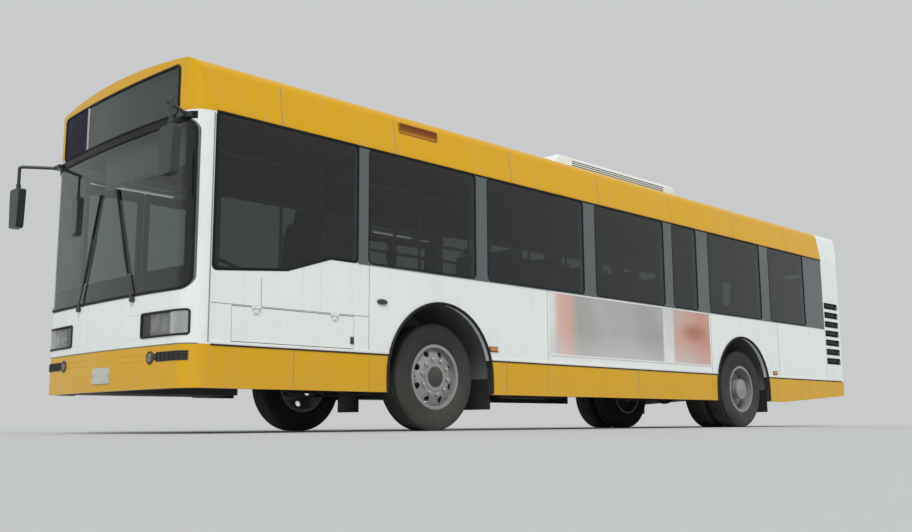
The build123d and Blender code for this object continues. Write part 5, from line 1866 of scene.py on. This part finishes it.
@dataclass
class Doors(Assembly):
    """Finger guards, glass seals and handrails on the door leaves."""

    leaf_width: float = 0.612
    guard_z: Span = (0.392, 2.365)
    panes: tuple[Span, ...] = ((0.516, 1.23), (1.275, 2.281))
    bar_y: float = -1.195
    bar_z: Span = (1.00, 1.22)

    def build(self) -> None:
        """Dresses the four leaves."""
        for place, (rear, front) in zip(("front_door", "middle_door"), self.doorways):
            self.leaf(f"{place}_front", front, -1.0)
            self.leaf(f"{place}_rear", rear, 1.0)

    def leaf(self, name: str, jamb: float, way: float) -> None:
        """Dresses one leaf.

        Args:
            name: Doorway and place of the leaf.
            jamb: X of the doorway's edge.
            way: Direction from that edge into the doorway.
        """
        body = f"{name}_leaf"
        heel, toe = jamb + way * 0.01, jamb + way * self.leaf_width
        guard, bar = Form(), Form()
        guard.block((toe - way * 0.001, toe + way * 0.007), (-1.246, -1.219), self.guard_z, 0.003)
        guard.block((heel + way * 0.02, toe - way * 0.02), (-1.24, -1.224), (0.3862, 0.3875))
        guard.piece(f"{name}_finger_guard", SEAL, body=body)
        x = (heel + way * 0.045, toe - way * 0.045)
        paths = [upright(box_outline(x, z, 0.03), -1.2495) for z in self.panes]
        self.bead(f"{name}_glass_seals", paths, 0.006, closed=True, body=body)
        grip = toe - way * 0.085
        bar.rod(*((grip, self.bar_y, z) for z in self.bar_z), 0.009, 12)
        for z in inset(self.bar_z, 0.01):
            bar.rod((grip, self.bar_y, z), (grip, self.bar_y - 0.025, z), 0.007, 10)
        bar.piece(f"{name}_pull_bar", RAIL_PAINT, "rail_yellow", body)


@dataclass
class Mirrors(Assembly):
    """Silvered faces and sleeves of the two mirrors."""

    face: tuple[Flat, ...] = ((1.482, 2.235), (1.31, 2.235), (1.326, 1.895), (1.461, 1.895))
    sleeve: Flat = (1.395, 2.245)

    def build(self) -> None:
        """Makes the faces and the sleeves."""
        faces, sleeves = Form(), Form()
        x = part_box("mirrors")[1][0] - 0.07
        for side in Side:
            flat = rounded([(side.value * y, z) for y, z in self.face], 0.022)
            faces.prism([(x - 0.001, y, z) for y, z in flat], (-0.002, 0.0, 0.0))
            profile = ((0.0, 0.018), (0.004, 0.021), (0.05, 0.021), (0.054, 0.018))
            sleeves.turn(profile, (x + 0.035, side.value * self.sleeve[0], self.sleeve[1]), UP, 20)
        faces.piece("mirror_faces", SILVER, "lamp_clear")
        sleeves.piece("mirror_sleeves", PLASTIC)


def cushion(form: Form, centre: Point, along: Point, out: Point, size: Point, channels: int) -> None:
    """Adds a crowned closed pad with sewn channels and pulled-in sides.

    Args:
        form: Mesh that takes the pad.
        centre: Middle of the pad's flat underside.
        along: Direction of its length.
        out: Direction of its crown.
        size: Width, length and thickness.
        channels: Number of sewn channels across the pad.
    """
    steps = 16
    width, length, thick = size
    sideways, lengthways, upwards = (Vector(way).normalized() for way in (ACROSS, along, out))
    marks = [2 * step / steps - 1 for step in range(steps + 1)]
    for top in (False, True):
        grid = []
        for u in marks:
            row = []
            for v in marks:
                pull, tuck = 1 - 0.05 * (1 - u * u) * v**4, 1 - 0.05 * (1 - v * v) * u**4
                height = thick * (1 - abs(u) ** 5) ** 0.5 * (1 - abs(v) ** 5) ** 0.5 if top else 0.0
                if channels and abs(v) < 0.93:
                    wave = math.sin((v + 1) * math.pi * (channels + 1) / 2)
                    height *= 1 - 0.28 * math.exp(-(wave**2) / 0.02)
                flat = sideways * u * width / 2 * tuck + lengthways * v * length / 2 * pull
                row.append(form.bm.verts.new(Vector(centre) + flat + upwards * height))
            grid.append(row)
        form.cover(grid)


@dataclass
class Cab(Assembly):
    """Driver's seat, instruments and blind."""

    seat: Flat = (4.39, 0.72)
    podium: float = 0.88
    pad: Point = (0.48, 0.48, 0.125)
    back: Point = (0.46, 0.68, 0.115)
    head: Point = (0.26, 0.14, 0.08)
    folds: int = 6
    panel_x: float = 5.15
    dials: tuple[Flat, ...] = ((-0.12, 0.03), (-0.03, 0.045), (0.07, 0.045), (0.155, 0.028))
    wheel_head: Flat = (4.96, 1.33)
    column_foot: Flat = (5.185, 0.845)
    blind_y: Span = (-0.25, 1.02)
    blind_z: Span = (2.1, 2.4)

    def build(self) -> None:
        """Makes every piece of the cab."""
        for piece in (self.seat_base(), self.seat_pads(), self.seat_shell()):
            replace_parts(piece, "driver_seat")
        self.instruments()
        self.steering_hub()
        self.blind()

    def seat_base(self) -> Piece:
        """Folded rubber base with a plate below and above.

        Returns:
            The piece.
        """
        x, y = self.seat
        base = Form()
        for half, low, high in ((0.17, 0.0, 0.05), (0.19, 0.23, 0.262)):
            z = (self.podium + low, self.podium + high)
            base.block(about(x, half), about(y, half), z, 0.01)
        for fold in range(self.folds):
            origin = (x, y, self.podium + 0.05 + fold * 0.03)
            base.turn(((0.0, 0.13), (0.008, 0.15), (0.022, 0.15), (0.03, 0.13)), origin, UP, 24)
        return base.piece("driver_seat_base", BELLOWS, "cab_dark")

    def seat_pads(self) -> Piece:
        """Cushion, back and head pad of the driver's seat.

        Returns:
            The piece.
        """
        x, y = self.seat
        pads = Form()
        cushion(pads, (x + 0.01, y, self.podium + 0.265), AHEAD, UP, self.pad, 3)
        lean = Vector((-0.1, 0.0, 0.78)).normalized()
        face = Vector((lean.z, 0.0, -lean.x))
        cushion(pads, (x - 0.235, y, self.podium + 0.68), lean, face, self.back, 4)
        cushion(pads, (x - 0.283, y, self.podium + 1.035), lean, face, self.head, 0)
        seat = pads.piece("driver_seat_pads", DRIVER_CLOTH, "seat_cloth", sharp=60.0)
        return seat

    def seat_shell(self) -> Piece:
        """Shell behind the back of the driver's seat.

        Returns:
            The piece.
        """
        shell = Form()
        corners = ((-0.225, 0.34), (-0.3, 1.1), (-0.318, 1.08), (-0.262, 0.32))
        flat = [(self.seat[0] + x, self.podium + z) for x, z in corners]
        shell.prism(upright(flat, self.seat[1] - 0.21), (0.0, 0.42, 0.0))
        return shell.piece("driver_seat_back_shell", CAB_PLASTIC, "cab_dark")

    def instruments(self) -> None:
        """Hooded instrument panel with dials and a row of switches."""
        panel, dials, rims = Form(), Form(), Form()
        x, y = self.panel_x, self.seat[1]
        flat = ((x, 1.15), (x + 0.17, 1.182), (x + 0.14, 1.245), (x + 0.05, 1.235))
        panel.prism(upright(flat, y - 0.2), (0.0, 0.4, 0.0))
        panel.piece("instrument_hood", CAB_PLASTIC, "cab_dark")
        facing = Vector((-0.085, 0.0, 0.05)).normalized()
        for offset, radius in self.dials:
            spot = Vector((x + 0.024, y + offset, 1.193)) + facing * 0.002
            dials.turn(((0.0, radius), (0.003, radius), (0.004, radius * 0.9)), spot, facing, 28)
            rim = ((0.0, radius), (0.008, radius + 0.001), (0.008, radius + 0.005), (0.0, radius + 0.006))
            rims.ring(rim, spot, facing, 28)
        dials.piece("dial_faces", DIAL, "cab_dark")
        rims.piece("dial_rims", STEEL, "cab_dark")
        slat_recipe().grow(
            "switch_row", points_mesh([]), PLASTIC, "cab_dark", Count=9, Width=0.03, Height=0.014,
            First=(5.24, 0.28, 1.176), Step=(0.0, -0.055, 0.0), Half=(0.014, 0.0, 0.0), Corner=0.003,
        )

    def steering_hub(self) -> None:
        """Pad over the middle of the steering wheel and two column stalks."""
        head, foot = (Vector((x, self.seat[1], z)) for x, z in (self.wheel_head, self.column_foot))
        axis = (head - foot).normalized()
        form = Form()
        form.turn(((0.0, 0.055), (0.01, 0.066), (0.022, 0.066), (0.03, 0.05), (0.032, 0.008)), head, axis)
        under = head - axis * 0.07
        for reach in (-0.17, 0.17):
            form.rod(under, under + Vector((0.02, reach, 0.03)), 0.007, 10)
        form.piece("steering_hub", PLASTIC, "cab_dark")

    def blind(self) -> None:
        """Roller blind with its bar at the top of the windscreen."""
        form, bar = Form(), Form()
        form.sheet(self.nose_face(-0.075), self.blind_y, self.blind_z, (18, 3), 0.002)
        form.piece("sun_blind", LINING, "cab_dark")
        (low, high), z = self.blind_y, self.blind_z[0]
        bar.rod((5.53, low, z), (5.51, high, z), 0.01, 12)
        bar.piece("sun_blind_bar", ALUMINIUM, "cab_dark")


@dataclass
class Saloon(Assembly):
    """Seat pads, grab handles, straps, lining and lamps of the passenger space."""

    outer: float = 1.17
    width: float = 0.43
    seat_height: float = 0.42
    low_base: float = 0.74
    high_base: float = 1.1
    left: tuple[float, ...] = (-1.85, -1.12, -0.39, 0.34, 1.07, 1.8)
    right: tuple[float, ...] = (-1.5, -0.75, 0.0)
    raised: tuple[float, ...] = (-4.85, -4.1)
    strap_y: float = 0.33
    strap_start: float = -3.3
    strap_pitch: float = 0.55
    straps_in_row: int = 12
    lengths: tuple[Span, ...] = ((-5.0, -3.92), (-3.28, 2.78), (3.42, 5.0))

    def build(self) -> None:
        """Makes every piece of the saloon."""
        for side, low_rows in ((Side.LEFT, self.left), (Side.RIGHT, self.right)):
            rows = [(x, self.low_base) for x in low_rows] + [(x, self.high_base) for x in self.raised]
            self.seat_pads(side, rows)
            self.back_handles(side, rows)
            self.straps(side)
        self.ceiling()

    def seat_pads(self, side: Side, rows: Sequence[Flat]) -> None:
        """Cloth pads on the seat shells of one side.

        Args:
            side: The side.
            rows: Place along the bus and height of the floor of each row.
        """
        form = Form()
        lean = Vector((-0.07, 0.0, 0.7)).normalized()
        face = Vector((lean.z, 0.0, -lean.x))
        for x, base in rows:
            for place in (0.5, 1.5):
                y, z = side.value * (self.outer - self.width * place), base + self.seat_height
                cushion(form, (x + 0.245, y, z + 0.0005), AHEAD, UP, (0.385, 0.325, 0.038), 2)
                cushion(form, Vector((x + 0.046, y, z)) + lean * 0.37, lean, face, (0.385, 0.56, 0.034), 3)
        form.piece(f"seat_pads_{side.word}", SEAT_CLOTH, "seat_cloth", sharp=60.0)

    def back_handles(self, side: Side, rows: Sequence[Flat]) -> None:
        """Tube handles on top of the seat backs.

        Args:
            side: The side.
            rows: Place along the bus and height of the floor of each row.
        """
        inner = side.value * (self.outer - 2 * self.width + 0.05)
        outer = side.value * (self.outer - self.width - 0.04)
        paths = []
        for x, base in rows:
            top = base + self.seat_height + 0.7
            low, high = (x - 0.048, top - 0.03), (x - 0.05, top + 0.035)
            paths.append([(low[0], inner, low[1]), (high[0], inner, high[1])])
            paths[-1] += [(high[0], outer, high[1]), (low[0], outer, low[1])]
        self.bead(f"seat_handles_{side.word}", paths, 0.012, finish=RAIL_PAINT, slot="rail_yellow", sides=10)

    def straps(self, side: Side) -> None:
        """Hanging straps with rings along the grab rail.

        Args:
            side: The side.
        """
        bands, rings = Form(), Form()
        y = side.value * self.strap_y
        for step in range(self.straps_in_row):
            x = self.strap_start + step * self.strap_pitch
            bands.block(about(x, 0.014), about(y, 0.019), (1.93, 1.97), 0.004)
            bands.block(about(x, 0.012), about(y, 0.002), (1.8, 1.94), 0.001, 1)
            section = ((-0.006, 0.048), (0.006, 0.048), (0.006, 0.06), (-0.006, 0.06))
            rings.ring(section, (x, y, 1.755), ACROSS, 24)
        bands.piece(f"strap_bands_{side.word}", PLASTIC, "cab_dark")
        rings.piece(f"strap_rings_{side.word}", PLASTIC, "cab_dark")

    def ceiling(self) -> None:
        """Lamp covers and air ducts under the roof."""
        ducts, lamps = Form(), Form()
        section = ((1.15, 2.545), (1.15, 2.7), (0.86, 2.8), (0.86, 2.775), (1.1, 2.545))
        for side in Side:
            for start, end in self.lengths:
                corners = [(start, side.value * y, z) for y, z in section]
                ducts.prism(corners, (end - start, 0.0, 0.0))
                y = [side.value * edge for edge in (0.6, 0.72)]
                lamps.block(inset((start, end), 0.05), y, (2.775, 2.8), 0.008)
        ducts.piece("ceiling_ducts", LINING, "hatch_grey")
        lamps.piece("ceiling_lamp_covers", TRIM_WHITE, "hatch_grey")


@dataclass
class RoofTop(Assembly):
    """Fan guards and cowls of the cooling unit, ribs of the hatches and roof joints."""

    hatches: tuple[tuple[End, float], ...] = ((End.FRONT, 3.10008), (End.REAR, -3.59988))
    fans: tuple[float, ...] = (-1.25, -0.475, 0.3)
    fan_top: float = 0.153
    fan_blades: int = 10
    guard_rings: tuple[float, ...] = (0.1, 0.15, 0.2)
    joints: tuple[float, ...] = (4.55, 2.1, -2.3, -4.5)

    def build(self) -> None:
        """Makes every piece on the roof."""
        self.hatch_ribs()
        self.fan_guards()
        self.cowls()
        self.roof_joints()

    def hatch_ribs(self) -> None:
        """Stiffening ribs on both roof hatches."""
        for end, centre in self.hatches:
            name = f"{end.value}_roof_hatch"
            slat_recipe().grow(
                f"{name}_ribs", points_mesh([]), HATCH, "hatch_grey", name, Count=5, Width=0.018, Height=0.01,
                First=(centre - 0.2, 0.0, self.roof + 0.0655), Step=(0.1, 0.0, 0.0),
                Half=(0.0, 0.27, 0.0), Corner=0.003,
            )

    def fan_guards(self) -> None:
        """Wire guards with a hub over the three fans."""
        guard, top = Form(), self.roof + self.fan_top
        wire = top + 0.0035
        for x in self.fans:
            guard.ring(((0.0, 0.25), (0.006, 0.246), (0.006, 0.236), (0.0, 0.232)), (x, 0.0, top), UP, 48)
            guard.turn(((0.0, 0.055), (0.0065, 0.05), (0.007, 0.005)), (x, 0.0, top), UP, 24)
            for blade in range(self.fan_blades):
                angle = 2 * math.pi * blade / self.fan_blades
                run = Vector((math.cos(angle), math.sin(angle), 0.0))
                start = Vector((x, 0.0, wire)) + run * 0.05
                guard.rod(start, start + run * 0.19, 0.003, 6)
            for radius in self.guard_rings:
                corners = ((-0.003, -0.003), (0.003, -0.003), (0.003, 0.003), (-0.003, 0.003))
                section = [(reach, radius + out) for reach, out in corners]
                guard.ring(section, (x, 0.0, wire), UP, 48)
        guard.piece("roof_unit_fan_guards", PLASTIC)

    def cowls(self) -> None:
        """Sloped cowls on both sides of the cooling unit, with slots."""
        cowls, roof = Form(), self.roof
        top, foot = roof + 0.125, self.eave - 0.02
        for side in Side:
            rings = []
            for y, dent in ((0.6, 0.0), (0.9, 0.0), (0.922, 0.008), (0.93, 0.03)):
                flat = [(-1.88 + dent, foot), (-1.66, top - dent), (0.71, top - dent), (0.93 - dent, foot)]
                rings.append([Vector(point) for point in upright(rounded(flat, 0.045, 6), side.value * y)])
            cowls.rings(rings)
            slat_recipe().grow(
                f"roof_unit_slots_{side.word}", points_mesh([]), PLASTIC, Count=3, Width=0.006,
                First=(-0.475, side.value * 0.93, roof + 0.03), Step=(0.0, 0.0, 0.024), Half=(0.95, 0.0, 0.0),
                Height=0.01, Corner=0.002,
            )
        cowls.piece("roof_unit_cowls", WHITE_PAINT, "body_white", sharp=50.0)

    def roof_joints(self) -> None:
        """Sealed joints across the roof, along its crown."""
        half, roof = self.half - self.eave_inset, self.roof
        rise = roof - self.eave
        radius = (half**2 + rise**2) / (2 * rise)
        places = [-1.05 + 0.105 * step for step in range(21)]
        crown = [(y, roof - radius + math.sqrt(radius**2 - y**2) + 0.001) for y in places]
        paths = [[(x, y, z) for y, z in crown] for x in self.joints]
        self.bead("roof_joints", paths, 0.004, finish=SEALANT, slot="body_white")


@dataclass
class Underbody(Assembly):
    """Bellows, brake cans, propeller shaft, exhaust, pipes, bolts and mud flaps."""

    spring_top: float = 0.58
    spring_y: float = 0.39
    folds: tuple[Flat, ...] = (
        (0.0, 0.08), (0.05, 0.085), (0.14, 0.098), (0.26, 0.105), (0.4, 0.098), (0.5, 0.086),
        (0.6, 0.098), (0.74, 0.105), (0.86, 0.098), (0.95, 0.085), (1.0, 0.08),
    )
    cross_members: tuple[float, ...] = (
        5.36, 4.13, 1.85, 1.34, 0.56, -0.26, -1.08, -1.85, -3.56, -3.98, -5.49,
    )
    rail_face: float = 0.342
    pipe_top: float = 0.665
    pipe_pitch: float = 0.022
    flap_lag: float = 0.705
    flap_z: Span = (0.2, 0.66)

    def build(self) -> None:
        """Makes every piece under the floor."""
        self.bellows()
        self.driveline()
        self.exhaust()
        self.pipes()
        self.bolts()
        self.mud_flaps()

    def bellows(self) -> None:
        """Air springs with two folds, in place of the plain ones."""
        form = Form()
        front, rear = self.front_axle, self.rear_axle
        for x, low in ((front, 0.465), (rear - 0.45, 0.43), (rear + 0.45, 0.43)):
            profile = [(share * (self.spring_top - low), radius) for share, radius in self.folds]
            for y in (-self.spring_y, self.spring_y):
                form.turn(profile, (x, y, low), UP)
        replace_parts(form.piece("air_bellows", BELLOWS, "bellows_rubber"), "air_springs")

    def driveline(self) -> None:
        """Propeller shaft with its joints, and the brake cans."""
        rear, z = self.rear_axle, self.axle_height
        form = Form()
        form.rod((rear - 0.17, 0.0, z), (-4.1, 0.0, 0.56), 0.045, 20)
        for x, height in ((rear - 0.2, z + 0.003), (-4.06, 0.558)):
            coupling = ((-0.03, 0.05), (-0.02, 0.075), (0.02, 0.075), (0.03, 0.05))
            form.turn(coupling, (x, 0.0, height), (1, 0, -0.04), 24)
        can = (
            (0.0, 0.03), (0.01, 0.062), (0.07, 0.068), (0.074, 0.076),
            (0.084, 0.076), (0.088, 0.068), (0.14, 0.06), (0.15, 0.02),
        )
        for side in Side:
            for axle, y in ((rear, 0.5), (self.front_axle, 0.62)):
                form.turn(can, (axle + 0.1, side.value * y, z + 0.02), AHEAD, 24)
        form.piece("driveline", CHASSIS, "frame_steel")

    def exhaust(self) -> None:
        """Exhaust pipe with its silencer and tail."""
        form = Form()
        form.rod((-4.95, 0.34, 0.5), (-4.95, 0.72, 0.46), 0.045, 20)
        form.turn(((0.0, 0.06), (0.02, 0.11), (0.55, 0.11), (0.57, 0.06)), (-4.95, 0.78, 0.6), AHEAD, 28)
        form.rod((-5.52, 0.78, 0.6), (-5.8, 0.78, 0.58), 0.04, 20)
        form.piece("exhaust", CAST, "engine_iron")

    def pipes(self) -> None:
        """Air and brake pipes along the frame rails."""
        paths = []
        for side in Side:
            for row in range(3):
                y, z = side.value * (self.rail_face - 0.001 * row), self.pipe_top - self.pipe_pitch * row
                paths.append([(x, y, z) for x in (-5.0, -3.0, -2.9, 2.6, 5.2)])
        self.bead("air_pipes", paths, 0.006, finish=PLASTIC, slot="frame_steel")

    def bolts(self) -> None:
        """Bolts on the rails at every cross member."""
        places = []
        for x in self.cross_members:
            for side in Side:
                for offset in (-0.022, 0.022):
                    places.append(((x + offset, side.value * 0.4335, 0.662), (0.0, float(side.value), 0.0)))
                    places.append(((x + offset, side.value * 0.39, 0.5785), (0.0, 0.0, -1.0)))
        carrier = points_mesh(places)
        nut_recipe().grow("rail_bolts", carrier, STEEL, "frame_steel", Size=0.012, Height=0.01)

    def mud_flaps(self) -> None:
        """Rubber flaps behind the wheels."""
        form = Form()
        for side in Side:
            for axle in (self.front_axle, self.rear_axle):
                x, y = axle - self.flap_lag, [side.value * edge for edge in (0.82, 1.19)]
                form.block(about(x, 0.004), y, self.flap_z, 0.002)
        form.piece("mud_flaps", SEAL)


@dataclass
class Studio:
    """Pale floor, plain light and the camera at the photograph's angle."""

    eye: Point = (9.414, 7.884, 0.06)
    yaw: float = -135.232
    pitch: float = 9.043
    roll: float = -0.348
    focal: float = 994.36
    image_width: float = 912.0
    sensor: float = 36.0
    sky: float = 0.66
    backdrop: float = 0.62
    sky_colour: Colour = (0.94, 0.96, 0.97)
    floor_reach: float = 120.0
    floor_colour: Colour = (0.55, 0.56, 0.56)
    sun: float = 1.7
    sun_from: Point = (0.62, 0.62, 0.9)

    def build(self) -> None:
        """Makes the floor, the lights and the camera."""
        self.floor()
        self.light()
        self.camera()
        bpy.context.scene.view_settings.view_transform = "Standard"

    def floor(self) -> None:
        """Wide pale floor that keeps the shadow."""
        mesh = bpy.data.meshes.new("studio_floor")
        reach = self.floor_reach
        corners = [(-reach, -reach, 0), (reach, -reach, 0), (reach, reach, 0), (-reach, reach, 0)]
        mesh.from_pydata(corners, [], [(0, 1, 2, 3)])
        floor = bpy.data.objects.new("studio_floor", mesh)
        bpy.context.scene.collection.objects.link(floor)
        material = bpy.data.materials.new("studio_floor_paint")
        Surface(material).paint(Base_Color=self.floor_colour, Roughness=0.9)
        mesh.materials.append(material)

    def light(self) -> None:
        """Even sky, paler where the camera, metal or glass sees it, and a soft sun."""
        world = bpy.data.worlds.new("studio_sky")
        bpy.context.scene.world = world
        world.use_nodes = True
        graph = Graph(world.node_tree)
        sky = next(node for node in world.node_tree.nodes if node.type == "BACKGROUND")
        rays = graph.add("ShaderNodeLightPath").outputs
        seen = graph.math("MAXIMUM", rays["Is Camera Ray"], rays["Is Glossy Ray"])
        seen = graph.math("MAXIMUM", seen, rays["Is Transmission Ray"])
        graph.feed(sky.inputs["Color"], self.sky_colour)
        graph.feed(sky.inputs["Strength"], graph.scale(seen, (0.0, 1.0), (self.sky, self.backdrop)))
        lamp = bpy.data.lights.new("studio_sun", "SUN")
        lamp.energy = self.sun
        lamp.angle = math.radians(25)
        sun = bpy.data.objects.new("studio_sun", lamp)
        sun.rotation_euler = Vector(self.sun_from).to_track_quat("Z", "Y").to_euler()
        bpy.context.scene.collection.objects.link(sun)

    def camera(self) -> None:
        """Camera near the floor, in front of the driver's side corner."""
        yaw, pitch, roll = (math.radians(value) for value in (self.yaw, self.pitch, self.roll))
        flat = Vector((math.cos(yaw), math.sin(yaw), 0.0)) * math.cos(pitch)
        ahead = flat + Vector((0.0, 0.0, math.sin(pitch)))
        right = Vector((math.sin(yaw), -math.cos(yaw), 0.0))
        up = right.cross(ahead)
        tilted = right * math.cos(roll) + up * math.sin(roll)
        upper = up * math.cos(roll) - right * math.sin(roll)
        data = bpy.data.cameras.new("photo_camera")
        data.sensor_width = self.sensor
        data.lens = self.focal / self.image_width * self.sensor
        data.clip_end = 500.0
        camera = bpy.data.objects.new("photo_camera", data)
        turn = Matrix((tilted, upper, -ahead)).transposed()
        camera.matrix_world = Matrix.Translation(self.eye) @ turn.to_4x4()
        bpy.context.scene.collection.objects.link(camera)
        bpy.context.scene.camera = camera


def paint_nodes(frame: dict[str, Any]) -> None:
    """Gives every CAD node its finish, whose edges show no wear on loose triangles.
    """
    for node, piece in frame["nodes"].items():
        slots = piece.material_slots
        first = slots[0].material.name.split(".")[0] if slots else ""
        finish = NODE_FINISHES.get(node) or SLOT_FINISHES.get(first)
        if finish is None:
            log.warning("node %s has the unknown slot %s", node, first)
            continue
        if finish.wear:
            finish = replace(finish, name=f"{finish.name}_unworn", wear=0.0)
        for slot in slots:
            slot.material = finish.material()
        log.info("node %s has the finish %s", node, finish.name)


def main() -> None:
    """Loads the frame, dresses it and sets the stage."""
    logging.basicConfig(level=logging.INFO, format="%(name)s: %(message)s")
    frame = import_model()
    Studio().build()
    paint_nodes(frame)
    outside = (Glass, Sides, FrontEnd, RearEnd, Wheels, Doors, Mirrors)
    for assembly in (*outside, Cab, Saloon, RoofTop, Underbody):
        assembly().build()


if __name__ == "__main__":
    main()
